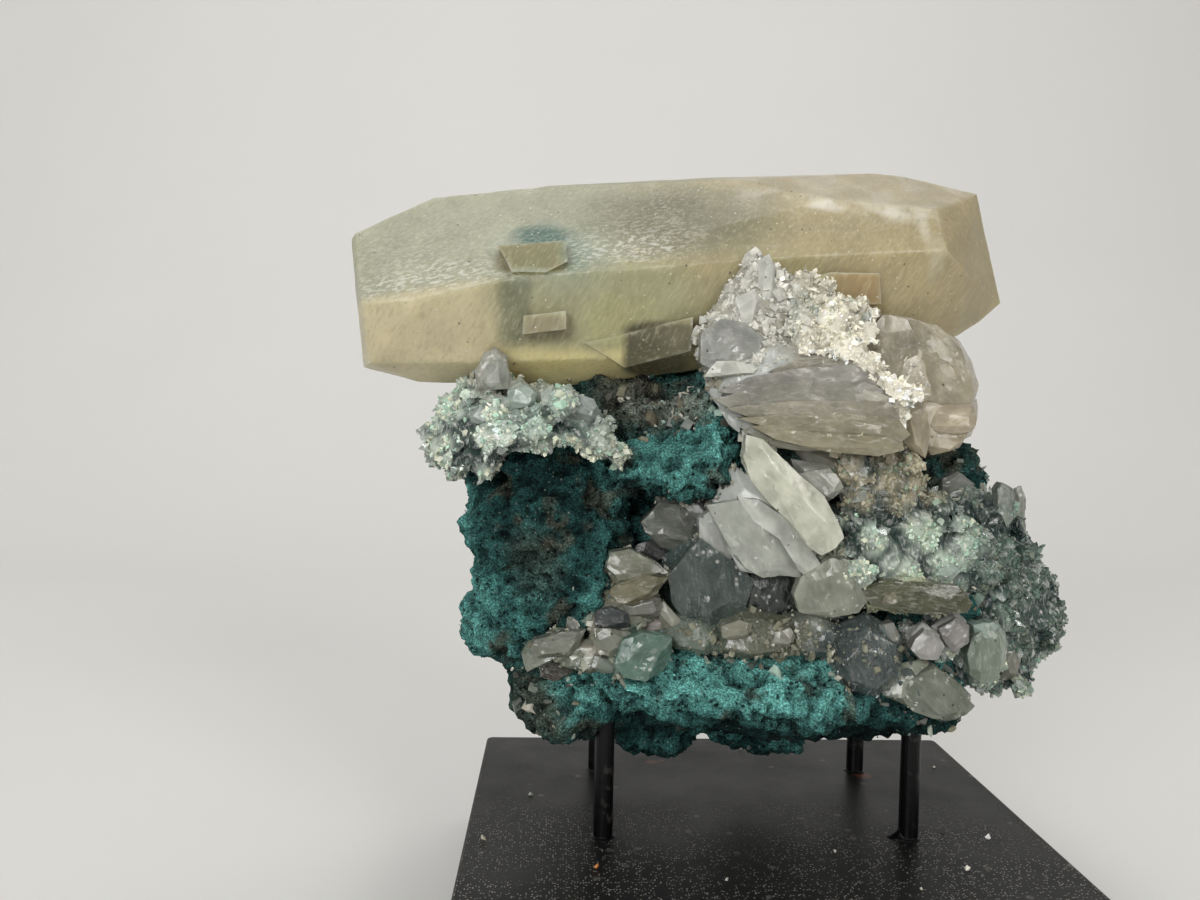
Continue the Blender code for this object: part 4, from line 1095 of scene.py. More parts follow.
# Single crystals seen on each cluster: way of growth in degrees below level, y of the skin behind, height,
# colour, and the outline as x and z, in millimetres
LARGE_CRYSTALS = {
    "fan": (
        (10, -23.5, 1, (0.36, 0.37, 0.34), ((-13, 105.5), (-10, 107.5), (-6.5, 107), (-2.5, 104),
            (-1.5, 101.5), (-5.5, 99), (-10.5, 99.5), (-13, 101))),
        (-8, -26.5, 1.2, (0.36, 0.35, 0.31), ((-9.5, 96), (-5, 98.5), (3, 100), (10, 100.5), (14, 99),
            (13, 97), (6, 96.5), (-2, 95.5))),
        (-2, -27, 1.2, (0.33, 0.32, 0.27), ((-10, 95), (-4, 97), (4, 98), (11, 98), (15.5, 96.5),
            (16, 94.5), (9, 94.5), (0, 94), (-7, 93))),
        (4, -27.5, 1.3, (0.38, 0.36, 0.28), ((-8.5, 93.5), (-1, 94.5), (8, 95), (15, 95), (17.5, 92.5),
            (15, 91.5), (6, 92), (-3, 91.5))),
        (8, -28, 1.1, (0.35, 0.33, 0.23), ((-7, 92), (1, 92.5), (10, 93), (17, 92), (19, 90), (17, 88.5),
            (9, 89.5), (0, 90))),
        (13, -28, 1.2, (0.37, 0.34, 0.23), ((-4.5, 90.5), (3, 91), (11, 90), (17.5, 89), (18, 87.5),
            (14, 86.5), (7, 87), (-1, 88.5))),
        (-4, -26, 0.7, (0.35, 0.33, 0.26), ((-2, 99.5), (2, 101.5), (10, 102), (13.5, 100.5), (13, 99),
            (2, 98.5))),
        (85, -19.5, 1.2, (0.4, 0.36, 0.27), ((17.5, 109), (21.5, 108.5), (23, 105), (23.5, 96), (20, 96),
            (17, 99.5), (14.5, 104.5), (15.5, 107))),
        (50, -19, 1.2, (0.43, 0.39, 0.28), ((21.5, 108.5), (27, 107.5), (30.5, 104), (33, 97.5),
            (32.5, 95.5), (24, 95.5), (23, 104.5))),
        (80, -21, 2, (0.47, 0.41, 0.29), ((20.5, 95), (24, 95), (25, 90.5), (24.5, 86.5), (22.5, 87.5),
            (21, 89))),
        (10, -18.5, 1.8, (0.55, 0.48, 0.35), ((25.5, 95), (32.5, 95), (34, 92.5), (33, 90.5), (28, 90),
            (25.5, 91.5))),
        (10, -17.5, 1.8, (0.47, 0.41, 0.29), ((26, 90), (33, 90.5), (31.5, 88), (27, 86.5), (26, 87.5))),
        (20, -19, 1.4, (0.42, 0.41, 0.33), ((3.5, 86.5), (8.5, 87), (11.5, 85), (10.5, 83), (6.5, 83.5))),
        (-60, -22.5, 1.6, (0.72, 0.72, 0.66), ((-7.5, 111), (-5, 112.5), (-3.5, 111), (-4.5, 107.5),
            (-6.5, 107.5))),
        (-80, -22, 1.6, (0.7, 0.71, 0.65), ((-4, 117), (-2.5, 118), (-1.5, 116), (-1.5, 112), (-3, 111),
            (-4, 113.5))),
        # Painted highlight: a pale facet on the fan's left
        (40, -24.5, 1.2, (0.6, 0.61, 0.54), ((-11, 101), (-8, 101), (-4, 100), (-4.5, 99), (-9.5, 98.5),
            (-12.5, 98.5))),
    ),
    "blades": (
        (52, -29, 2, (0.63, 0.64, 0.53), ((-6, 88.5), (-3.5, 88), (1.5, 83), (5.5, 80), (7, 77.5),
            (8.5, 74), (7.5, 72.5), (5.5, 71.5), (3.5, 72.5), (1.5, 75), (-2, 78.5), (-5, 82),
            (-6.5, 85.5))),
        (58, -26.5, 1.6, (0.62, 0.64, 0.58), ((-6.5, 79), (-3, 78.5), (1, 76), (4, 72), (6, 69),
            (5.5, 67.5), (4, 67.5), (2.5, 68.5), (-0.5, 73), (-5, 76))),
        (60, -26, 1.6, (0.42, 0.44, 0.39), ((-11.5, 77.5), (-6.5, 78.5), (-3, 76), (1.5, 71), (3, 67),
            (-0.5, 67.5), (-3, 67), (-5.5, 68), (-7.5, 70.5), (-9.5, 74))),
        (65, -22.5, 1.4, (0.5, 0.52, 0.48), ((-12.5, 75.5), (-10.5, 77), (-8.5, 74), (-6.5, 70), (-8, 69),
            (-10.5, 70.5), (-12.5, 72))),
        (10, -18.5, 1.6, (0.13, 0.14, 0.12), ((-21.5, 74), (-19, 77.5), (-12, 76.5), (-12, 71.5),
            (-14.5, 69.5), (-18.5, 70.5), (-21, 72.5))),
        (20, -13.5, 1.2, (0.09, 0.09, 0.09), ((-22.5, 69.5), (-20, 70.5), (-17, 70), (-16, 68.5),
            (-17.5, 67.5), (-20.5, 67.5))),
        (30, -25, 1.6, (0.4, 0.41, 0.36), ((1, 83), (7.5, 84), (10, 81.5), (8, 79.5), (5, 80.5))),
    ),
    "lower_points": (
        (80, -22.5, 2.6, (0.09, 0.12, 0.11), ((-14.5, 69.5), (-12.5, 72), (-9, 69.5), (-6, 67.5),
            (-4.5, 65), (-5.5, 60), (-10, 58), (-14, 59), (-16.5, 62), (-17, 66))),
        (85, -22, 1.6, (0.025, 0.034, 0.03), ((-4.5, 66), (0, 66.5), (4, 65.5), (4, 61.5), (2, 59),
            (-2.5, 58.5), (-5, 60))),
        (70, -26.5, 1.6, (0.33, 0.35, 0.28), ((3.5, 67), (8, 69.5), (13.5, 68), (14.5, 64.5), (12.5, 61.5),
            (8, 61), (3.5, 61.5), (2.5, 64))),
        (0, -26, 1.2, (0.3, 0.3, 0.23), ((-9, 58.5), (-6.5, 59.5), (-4.5, 59), (-5, 57), (-7.5, 56.5),
            (-9, 57))),
        (45, -25.5, 1.6, (0.23, 0.25, 0.2), ((23.5, 51), (26, 52), (29, 49), (32, 46), (30.5, 44.5),
            (27, 44), (22.5, 45), (20.5, 47.5), (21.5, 49.5))),
        (20, -26.5, 1.2, (0.3, 0.3, 0.25), ((-0.5, 58), (1.5, 58.5), (2.5, 57), (1, 55.5), (-1, 56))),
        (70, -26, 1.2, (0.33, 0.34, 0.3), ((17, 59), (18.5, 59.5), (19.5, 57.5), (19, 56), (17.5, 56.5))),
        (80, -14.5, 1.2, (0.5, 0.5, 0.42), ((24, 53.5), (25.5, 53.5), (26, 52), (25, 50.5), (24, 51.5))),
    ),
    "left_points": (
        (10, -25.5, 1.8, (0.24, 0.25, 0.19), ((-27, 70), (-24, 70.5), (-20.5, 69), (-19, 67.5),
            (-21, 66.5), (-25.5, 66), (-27.5, 67.5))),
        (-15, -26, 2, (0.19, 0.18, 0.11), ((-26.5, 65), (-22.5, 66.5), (-18.5, 66), (-20, 64), (-23.5, 62),
            (-26, 63), (-27, 64))),
        (-5, -25, 1.8, (0.2, 0.2, 0.17), ((-25, 62), (-21, 63.5), (-19, 62.5), (-19.5, 60), (-22.5, 59.5),
            (-24.5, 60.5))),
        (30, -24.5, 1, (0.85, 0.85, 0.8), ((-22, 68), (-20, 68.5), (-18, 67), (-20, 67))),
        (0, -26, 1.4, (0.05, 0.06, 0.06), ((-29, 61), (-27, 61.5), (-24.5, 60.5), (-24, 58.5), (-27, 58),
            (-29.5, 59))),
        (-10, -25, 2, (0.2, 0.21, 0.17), ((-39, 56), (-35, 57), (-31.5, 57.5), (-32, 55.5), (-34, 53.5),
            (-38, 53), (-39.5, 54.5))),
        (-30, -27, 1.6, (0.24, 0.25, 0.2), ((-29.5, 58), (-27, 58), (-24, 57.5), (-25, 54.5), (-27, 54),
            (-29, 55.5))),
        (-50, -29, 2.4, (0.11, 0.2, 0.16), ((-25, 57), (-22, 58), (-18, 57), (-18, 55), (-19, 52.5),
            (-21.5, 51), (-24.5, 51.5), (-26, 53.5), (-25.5, 56))),
        (20, -19, 1.4, (0.12, 0.11, 0.09), ((-38.5, 51), (-35, 52), (-32.5, 51), (-33, 49), (-36, 48),
            (-38, 48.5))),
        (20, -26.5, 1.2, (0.19, 0.22, 0.18), ((-29.5, 54), (-26.5, 53), (-26, 51.5), (-28, 51),
            (-30, 52))),
        (-70, -23.5, 1, (0.24, 0.29, 0.24), ((-31, 59.5), (-29.5, 60.5), (-30, 58), (-31.5, 58.5))),
        (55, -24, 1.4, (0.36, 0.36, 0.3), ((-20, 61.5), (-18.5, 62), (-15.5, 59), (-16.5, 57.5),
            (-18.5, 58.5))),
        (0, -23, 1.4, (0.34, 0.31, 0.28), ((-22, 59.5), (-18.5, 59.5), (-17.5, 57.5), (-21, 56.5))),
        (60, -23, 1.2, (0.24, 0.26, 0.22), ((-34, 59), (-32.5, 59.5), (-31.5, 57.5), (-33, 56.5),
            (-34, 57.5))),
    ),
    "right_crust": (
        (5, -27, 1.2, (0.08, 0.085, 0.045), ((13.5, 65), (17, 66.5), (23, 66), (28, 65.5), (30.5, 63),
            (29.5, 61.5), (24.5, 61.5), (19, 61.5), (15, 62.5))),
        (-70, -24.5, 1.3, (0.4, 0.39, 0.37), ((23, 56.5), (24.5, 58), (26, 57.5), (27.5, 55.5),
            (26.5, 53.5), (24, 53.5), (22.5, 55))),
        (-40, -23, 1.4, (0.27, 0.26, 0.25), ((27.5, 58), (30, 59.5), (32, 58.5), (32, 55.5), (29.5, 54.5),
            (28, 56))),
        (90, -20, 1.4, (0.22, 0.27, 0.21), ((34, 55.5), (36.5, 58), (38.5, 56), (39, 52), (38.5, 49),
            (36, 48.5), (34, 50), (33.5, 53))),
        (90, -12, 1.8, (0.22, 0.22, 0.18), ((43, 52), (44.5, 53), (46, 50.5), (45, 47.5), (43, 46.5))),
        (-90, -15.5, 1.6, (0.22, 0.25, 0.21), ((39.5, 80.5), (40.5, 81.5), (42, 80.5), (42.5, 76),
            (41, 74.5), (39.5, 77))),
        (-30, -10, 1.8, (0.2, 0.21, 0.19), ((32, 81.5), (34.5, 83), (37.5, 81), (37, 78.5), (34, 78),
            (32, 79.5))),
        (5, -20, 1.4, (0.42, 0.52, 0.45), ((25.5, 68), (30, 68.5), (31.5, 67), (30, 65.5), (26, 66))),
        (60, -19.5, 1.4, (0.3, 0.38, 0.33), ((34.5, 58), (37.5, 59), (39, 58), (37, 56), (35, 56))),
        (20, -27.5, 1.4, (0.2, 0.19, 0.13), ((16.5, 64.5), (18, 65), (19, 63.5), (17.5, 62.5), (16, 63))),
    ),
    "top_left_crust": (
        (30, -24, 2.2, (0.24, 0.28, 0.26), ((-36, 94.5), (-33.5, 95.5), (-30.5, 94.5), (-29, 92),
            (-31, 90.5), (-34.5, 92))),
        (-85, -17.5, 2.2, (0.45, 0.47, 0.42), ((-48, 99.5), (-46, 101), (-44.5, 99.5), (-44.5, 96),
            (-47, 96), (-48.5, 97.5))),
        (10, -21.5, 1.8, (0.4, 0.48, 0.42), ((-44, 95.5), (-41.5, 96.5), (-39.5, 95), (-40, 93.5),
            (-43.5, 93))),
        (-60, -24.5, 1.6, (0.5, 0.56, 0.5), ((-39, 95.5), (-37, 96.5), (-36, 95), (-37, 93.5),
            (-38.5, 93.5))),
        (30, -20, 1.6, (0.3, 0.36, 0.33), ((-50.5, 92.5), (-47.5, 93.5), (-46, 92), (-47.5, 90),
            (-50, 90.5))),
    ),
}

# A single crystal: growth of its outline, then in millimetres the waver of its corners, the depth of its
# root, the bevel of its edges and the spacing of its faces
OUTLINE_GROWTH = 1.09
OUTLINE_JITTER = 0.12
ROOT_DEPTH = 2.0
EDGE_BEVEL = 0.09
FACE_SPACING = 1.1

# Planes that cut a single crystal: direction in degrees from its tip, start and drop as shares
CRYSTAL_CUTS = (
    (90, 0.15, 0.7), (-90, 0.35, 0.8), (22, 0.5, 0.85), (-38, 0.62, 0.8), (178, 0.3, 0.6), (140, -0.6, 0.3),
    (0, 0.86, 0.8), (60, 0.88, 0.8), (118, 0.86, 0.8), (180, 0.88, 0.8), (242, 0.86, 0.8), (300, 0.88, 0.8),
)


def cut_crystal(angle, depth, lift, colour, outline, chance):
    """Cut one crystal from a slab of the given outline with leaning planes, as a gem is cut.

    A plane starts at a share of the way from the middle to the rim, and by the rim it has dropped by its
    share of the slab's height.
    """
    flat = np.array(outline)
    middle = flat.mean(axis=0)
    flat = middle + (flat - middle) * OUTLINE_GROWTH + chance.normal(0, OUTLINE_JITTER, flat.shape)
    shape = bmesh.new()
    front = [shape.verts.new((x, depth - lift, z)) for x, z in flat]
    back = [shape.verts.new((x, depth + ROOT_DEPTH, z)) for x, z in flat]
    shape.faces.new(front)
    shape.faces.new(back[::-1])
    for number in range(len(flat)):
        after = (number + 1) % len(flat)
        shape.faces.new((front[number], back[number], back[after], front[after]))
    bmesh.ops.recalc_face_normals(shape, faces=shape.faces)
    for turn, start, drop in CRYSTAL_CUTS:
        heading = math.radians(-angle + turn + chance.normal(0, 7))
        way = np.array((math.cos(heading), math.sin(heading)))
        rim = float(np.max((flat - middle) @ way))
        begin = rim * min(start + chance.normal(0, 0.05), 0.92)
        slope = drop * lift / (rim - begin)
        spot = middle + way * begin
        cut = bmesh.ops.bisect_plane(
            shape, geom=shape.verts[:] + shape.edges[:] + shape.faces[:], dist=1e-4,
            plane_co=(spot[0], depth - lift, spot[1]), plane_no=(way[0] * slope, -1.0, way[1] * slope),
            clear_outer=True)
        open_rim = [part for part in cut["geom_cut"] if isinstance(part, bmesh.types.BMEdge)]
        if open_rim:
            bmesh.ops.edgeloop_fill(shape, edges=open_rim)
    bmesh.ops.remove_doubles(shape, verts=shape.verts, dist=0.02)
    bmesh.ops.bevel(
        shape, geom=shape.edges[:], offset=EDGE_BEVEL, segments=1, affect="EDGES", clamp_overlap=True)
    bmesh.ops.triangulate(shape, faces=shape.faces[:])
    cut_small(shape, FACE_SPACING)
    bmesh.ops.recalc_face_normals(shape, faces=shape.faces)
    shape.verts.index_update()
    points = np.array([vert.co[:] for vert in shape.verts])
    loops = np.array([vert.index for face in shape.faces for vert in face.verts])
    counts = np.full(len(shape.faces), 3)
    shape.free()
    heading = math.radians(-angle)
    along = points[:, 0] * math.cos(heading) + points[:, 2] * math.sin(heading)
    across = points[:, 2] * math.cos(heading) - points[:, 0] * math.sin(heading)
    way = np.stack([across, along, points[:, 1]], axis=1) * MM
    return (points * MM, loops, counts, np.tile(colour, (len(points), 1))), way


def large_crystals(name, slot, glass, seed):
    """Make the single crystals of one cluster, their faces broken into small flats, with pale edges of wear
    and painted highlight.
    """
    chance = np.random.default_rng(seed)
    cuts = [cut_crystal(*row, chance) for row in LARGE_CRYSTALS[name]]
    group = joined(name + "_large_crystals", *(part for part, way in cuts))
    way = np.concatenate([way for part, way in cuts])
    shades = np.concatenate([part[3] for part, way in cuts])
    points, facing = skin_of(group.data)
    rise = layered_noise(way * np.array((1.0, 0.25, 1.0)), 1.6 * MM, seed, 3) * 0.07
    rise = rise + facets(way * np.array((1.0, 0.35, 1.0)), 2.4 * MM, seed + 8) * 0.2
    moved(group.data, points + facing * rise[:, None] * MM)
    edged(group.data, 12)
    # Pale edge tint: partly frosty wear and partly painted light where light shows through the rims
    wear_and_highlight = edge_sharpness(group.data) * np.clip(0.6 + layered_noise(points, 1.5 * MM, seed + 2, 3), 0, 1)
    shades = shades * (1 + 0.22 * layered_noise(points, 2.5 * MM, seed + 4, 4))[:, None]
    tinted(group.data, blended(shades, np.clip(shades * 1.4 + 0.06, 0, 0.95), wear_and_highlight * 0.5))
    layer = group.data.attributes.new("growth", "FLOAT_VECTOR", "POINT")
    layer.data.foreach_set("vector", way.astype(np.float32).ravel())
    return settled(group, glass, slot)


# Pieces whose seams hold crumbs, the rock first
SEAM_PIECES = (
    "rock", "calcite", "fan", "blades", "lower_points", "left_points", "right_crust_bed",
    "top_left_crust_bed",
)

# Colours of the crumbs in the seams and the share of each
CRUMB_COLOURS = (
    (0.5, 0.48, 0.38), (0.7, 0.69, 0.6), (0.22, 0.2, 0.14), (0.08, 0.16, 0.15), (0.03, 0.03, 0.025),
)
CRUMB_SHARES = (0.3, 0.25, 0.2, 0.15, 0.1)


def cell_codes(points, size):
    """Number the cell that holds each point."""
    cells = np.floor(points / size).astype(np.int64) + 500
    return cells[:, 0] * 1000000 + cells[:, 1] * 1000 + cells[:, 2]


def build_seams(settings):
    """Strew crumbs and tiny crystals wherever two neighbouring skins come within a cell of each other."""
    chance = np.random.default_rng(settings.seed)
    skins = {name: skin_of(bpy.data.objects[name].data)[0] for name in SEAM_PIECES}
    parts = []
    for name in SEAM_PIECES[1:]:
        others = np.concatenate([skin for other, skin in skins.items() if other != name])

        def touching(p, n, others=others):
            close = np.zeros(len(p), bool)
            for shift in (0.0, 0.5):
                start = shift * settings.reach
                cells = cell_codes(others + start, settings.reach)
                close |= np.isin(cell_codes(p + start, settings.reach), cells)
            return close * np.clip(0.7 - n[:, 1], 0.05, 1)

        count = settings.crumbs // (3 if name == "calcite" else 1)
        places, normals = picked(bpy.data.objects[name], touching, count, chance)
        shades = np.array(CRUMB_COLOURS)[chance.choice(len(CRUMB_SHARES), count, p=CRUMB_SHARES)]
        shades = shades * chance.uniform(0.7, 1.2, (count, 1))
        sizes = (0.3 + 0.9 * chance.random(count) ** 3) * MM
        parts += strewn_halves(
            (rhomb(), quartz_point()), count // 2, places, normals, sizes, shades, (0.9, 0.9), chance)
    settled(joined("seam_crumbs", *parts), crust_finish("seam_crumb", 0.4, 0.2, 0.4), "pale_quartz")


# Clusters of larger crystals: solid, piece, slot, and the name, roughness, clearness, frost and flecks of the
# quartz
CLUSTERS = (
    ("fan_crystals", "fan", "grey_quartz", ("fan_quartz", 0.1, 0.45, 0.22, 0.06)),
    ("blade_crystals", "blades", "pale_quartz", ("blade_quartz", 0.1, 0.4, 0.14, 0.04)),
    ("lower_crystals", "lower_points", "smoky_quartz", ("smoky_glass", 0.08, 0.5, 0.16, 0.12)),
    ("left_lower_crystals", "left_points", "beige_quartz", ("beige_glass", 0.1, 0.45, 0.2, 0.07)),
)


def build_crystals(settings):
    """Make the four clusters of larger crystals, each with small crystals standing on it."""
    chance = np.random.default_rng(17)
    glasses = [quartz_finish(*values) for node, name, slot, values in CLUSTERS]
    for number, ((node, name, slot, values), glass) in enumerate(zip(CLUSTERS, glasses)):
        cluster = build_cluster(node, name, slot, glass, settings.skin, settings.roughening, 3 + number)
        clear = crust_finish(name + "_overgrowth_glass", 0.14, 0.25, 0.5)
        overgrown(cluster, name + "_overgrowth", OVERGROWTH[node], slot, clear, chance)
        large_crystals(name, slot, glass, 70 + number)


def build_druse(settings):
    """Make the three sugary crusts: a rough bed, milky sugar all over it and a few clear crystals.

    A row has the solid, piece, slot, count, least and greatest length in millimetres, two colours, clearness,
    the share of upright crystals, the green that counts as full, and the milky crystals to one clear one.
    """
    chance = np.random.default_rng(settings.seed)
    crusts = (
        ("white_druse", "white_crust", "white_quartz", settings.white, (0.3, 1.0),
         (SUGAR_WHITE, SUGAR_DULL), 0.08, 0.8, 0.62, 60),
        ("right_druse", "right_crust", "mint_quartz", settings.mint, (0.28, 1.0),
         (SUGAR_MINT, SUGAR_WHITE), 0.2, 0.5, 0.38, 24),
        ("top_left_druse", "top_left_crust", "frosted_quartz", settings.frosted, (0.28, 1.05),
         (SUGAR_MINT, SUGAR_WHITE), 0.2, 0.5, 0.38, 24),
    )
    for number, row in enumerate(crusts):
        node, name, slot, count, sizes, (first, second), clearness, upright, full, rarity = row
        bed_glass = quartz_finish(name + "_bed_glass", 0.22, clearness, 0.5, 0.08)
        bed = build_cluster(node, name + "_bed", slot, bed_glass, 0.92 * MM, 0.25 * MM, 30 + number)

        def open_share(p, n, node=node, number=number):
            share = 1 - smooth_share(node, p, 0.15)
            patchy = 1.0 if number == 0 else np.clip((0.55 - crust_lumps(p, 30 + number)) * 5, 0.015, 1)
            return share * patchy * np.clip(-n[:, 1] + 0.8, 0.05, 1)

        places, normals = picked(bed, open_share, count, chance)
        half = int(count * upright)
        ground = crystal_tint(node, places, 30 + number)
        tone = ground * chance.uniform(1.0, 1.7, (count, 1))
        lift = chance.random(count)[:, None]
        bright = np.clip(0.5 + layered_noise(places, 5 * MM, 150 + number, 2), 0, 1)[:, None]
        hue = np.sqrt(ground / ground.max(axis=1)[:, None])
        zone = np.clip(ground[:, 1:2] / full, 0.25, 1.45) * hue
        uneven = 0.95 + 0.4 * layered_noise(places, 2.5 * MM, 170 + number, 3)
        zone = zone * np.clip(uneven, 0.5, 1.25)[:, None]
        dull = np.array(second) * zone * chance.uniform(0.75, 1.1, (count, 1))
        tone = np.where(lift < 0.55 * bright, dull, tone)
        fresh = np.array(first) * zone * chance.uniform(0.7, 1.2, (count, 1))
        tone = np.where(lift > 0.8, fresh, tone)
        lengths = (sizes[0] + (sizes[1] - sizes[0]) * chance.random(count) ** 2) * MM
        lengths[half:] *= 0.9
        sugar = strewn_halves(
            (quartz_point(), rhomb()), half, places, normals, lengths, tone, (0.7, 0.8), chance)
        settled(joined(name + "_crystals", *sugar), crust_finish(name + "_sugar", 0.3, clearness, 0.5), slot)

        clear_count = count // rarity
        places, normals = picked(bed, open_share, clear_count, chance)
        lengths = (0.7 + 1.5 * chance.random(clear_count) ** 2) * settings.clear
        tone = np.array(SUGAR_CLEAR) * chance.uniform(0.8, 1.05, (clear_count, 1))
        clear = strewn(quartz_point(), places, normals, lengths, tone, 0.6, chance)
        clear_glass = crust_finish(name + "_clear_glass", 0.07, 0.75, 0.5)
        settled(joined(name + "_clear_crystals", clear), clear_glass, slot)
        if name in LARGE_CRYSTALS:
            glass = quartz_finish(name + "_large_glass", 0.12, 0.4, 0.25, 0.04)
            large_crystals(name, slot, glass, 80 + number)


def build_stand(settings):
    """Paint the base and its pins, and lay glue, rust and crumbs where they are."""
    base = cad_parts["base"]
    base.data.materials.clear()
    base.data.materials.append(paint_finish())
    rod_paint = rod_finish()
    for name in PINS:
        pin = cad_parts[name]
        pin.data.materials.clear()
        pin.data.materials.append(rod_paint)
    beads = []
    for name in PINS:
        low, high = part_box(name)
        middle = ((low[0] + high[0]) / 2, (low[1] + high[1]) / 2)
        reach = (high[0] - low[0]) / 2
        glob = settings.glob if name == "pin_front_right" else 0.0
        beads.append(glue_bead(middle, reach, settings.bead, glob))
    glue = joined("glue_beads", *beads)
    glue.data.polygons.foreach_set("use_smooth", np.ones(len(glue.data.polygons), bool))
    settled(glue, rod_paint, "black_pin")
    chance = np.random.default_rng(4)
    count = len(CRUMBS)
    sizes = np.array([size for x, y, size, colour in CRUMBS]) * MM
    places = np.array([(x * MM, y * MM, STAND_TOP) for x, y, size, colour in CRUMBS])
    places[:, 2] += sizes * 0.25
    shades = np.array([colour for x, y, size, colour in CRUMBS])
    upright = np.tile((0.0, 0.0, 1.0), (count, 1))
    crumbs = joined("crumbs", strewn(grain(), places, upright, sizes, shades, 0.3, chance))
    settled(crumbs, crust_finish("crumb", 0.8, 0.0, 0.3), "teal_rock")


def glue_bead(middle, reach, bead, glob):
    """A fillet round the pin: radius r + b (1 - t)^2 at height b t, swollen on the left by the glob."""
    turn = np.linspace(0, math.tau, 28, endpoint=False)
    rise = np.linspace(0, 1, 8)
    angle, height = np.meshgrid(turn, rise)
    wave = 1 + 0.25 * np.sin(angle * 3 + middle[0] * 900) + glob * np.exp(-((angle - math.pi) / 0.6) ** 2)
    radius = reach * 0.98 + bead * wave * (1 - height) ** 2
    level = STAND_TOP + bead * 0.9 * height * wave
    points = np.stack([middle[0] + radius * np.cos(angle), middle[1] + radius * np.sin(angle), level], axis=2)
    rows, columns = angle.shape
    index = np.arange(rows * columns).reshape(rows, columns)
    after = np.roll(index, -1, axis=1)
    quads = np.stack([index[:-1], after[:-1], after[1:], index[1:]], axis=2).reshape(-1, 4)
    loops = np.concatenate([quads.ravel(), index[0][::-1], index[-1]])
    counts = np.concatenate([np.full(len(quads), 4), [columns, columns]])
    return points.reshape(-1, 3), loops, counts, np.zeros((rows * columns, 3))


def build_stage(settings):
    """Set up the pale floor that curves up behind, the soft lights and the camera."""
    width = 4.0
    side = np.linspace(-width, width, 3)
    turn = np.linspace(0, math.pi / 2, 25)
    sweep = settings.sweep
    back = settings.backdrop
    profile = np.concatenate([
        [(-3.0, 0.0)],
        np.stack([back + sweep * np.sin(turn), sweep * (1 - np.cos(turn))], axis=1),
        [(back + sweep, 4.0)],
    ])
    points = np.array([(x, y, z) for y, z in profile for x in side])
    rows = len(profile)
    index = np.arange(rows * 3).reshape(rows, 3)
    quads = np.stack([index[:-1, :-1], index[:-1, 1:], index[1:, 1:], index[1:, :-1]], axis=2).reshape(-1, 4)
    floor = mesh_object("floor", points, quads.ravel(), np.full(len(quads), 4))
    floor.data.polygons.foreach_set("use_smooth", np.ones(len(quads), bool))
    floor.data.materials.append(plain_finish("pale_floor", tuple(settings.floor_colour), 0.85))

    world = bpy.data.worlds.new("studio")
    bpy.context.scene.world = world
    world.use_nodes = True
    world.node_tree.nodes["Background"].inputs["Color"].default_value = (1.0, 0.985, 0.96, 1.0)
    world.node_tree.nodes["Background"].inputs["Strength"].default_value = settings.fill
    for name, place, aim, size, power, colour in STUDIO_LIGHTS:
        light = bpy.data.lights.new(name, "AREA")
        light.shape = "RECTANGLE"
        light.size, light.size_y = size
        light.energy = power * settings.key
        light.color = colour
        lamp = bpy.data.objects.new(name, light)
        bpy.context.scene.collection.objects.link(lamp)
        toward = Vector(aim) - Vector(place)
        lamp.matrix_world = Matrix.Translation(place) @ toward.to_track_quat("-Z", "Y").to_matrix().to_4x4()

    camera = bpy.data.cameras.new("camera")
    camera.lens = settings.lens
    camera.sensor_width = 36.0
    camera.clip_start = 0.005
    eye = bpy.data.objects.new("camera", camera)
    bpy.context.scene.collection.objects.link(eye)
    yaw, pitch, roll = CAMERA_TURN
    spin = Matrix.Rotation(-yaw, 3, "Z") @ Matrix.Rotation(math.pi / 2 - pitch, 3, "X")
    spin = spin @ Matrix.Rotation(roll, 3, "Z")
    eye.matrix_world = Matrix.Translation(Vector(CAMERA_PLACE) * MM) @ spin.to_4x4()
    bpy.context.scene.camera = eye
    bpy.context.scene.view_settings.view_transform = "Standard"


# Camera place in millimetres, and its turn to the right, down and anticlockwise
CAMERA_PLACE = (-35.4, -184.1, 93.3)
CAMERA_TURN = (math.radians(2.22), math.radians(2.456), math.radians(1.139))

# Lights: name, place, aim, size, power and colour
STUDIO_LIGHTS = (
    ("overhead", (-0.1, -0.2, 1.1), (0, 0.05, 0.07), (1.4, 1.0), 4.5, (1.0, 0.99, 0.97)),
    ("front left", (-0.6, -1.15, 0.45), (0, 0, 0.08), (0.6, 0.5), 17.0, (1.0, 1.0, 0.985)),
    ("front right", (0.65, -1.1, 0.6), (0, 0, 0.08), (0.45, 0.45), 9.0, (1.0, 0.97, 0.92)),
    ("backdrop", (0.0, 0.2, 1.6), (0, 1.0, 0.2), (2.0, 0.6), 14.0, (1.0, 0.99, 0.975)),
)


class StageSettings(bpy.types.PropertyGroup):
    lens: bpy.props.FloatProperty(
        name="Lens", description="Focal length on a 36 mm wide frame", default=30.0, min=10.0)
    fill: bpy.props.FloatProperty(
        name="Fill", description="Strength of the light from all round", default=0.2, min=0.0)
    key: bpy.props.FloatProperty(
        name="Key", description="Factor on the power of the soft lights", default=0.6, min=0.0)
    backdrop: bpy.props.FloatProperty(
        name="Backdrop", description="Where the floor starts to curve up", default=0.35, unit="LENGTH")
    sweep: bpy.props.FloatProperty(
        name="Sweep", description="Radius of the backdrop's curve", default=0.6, unit="LENGTH")
    floor_colour: bpy.props.FloatVectorProperty(
        name="Floor Colour", description="Colour of the floor and backdrop", default=(0.72, 0.715, 0.7),
        subtype="COLOR")


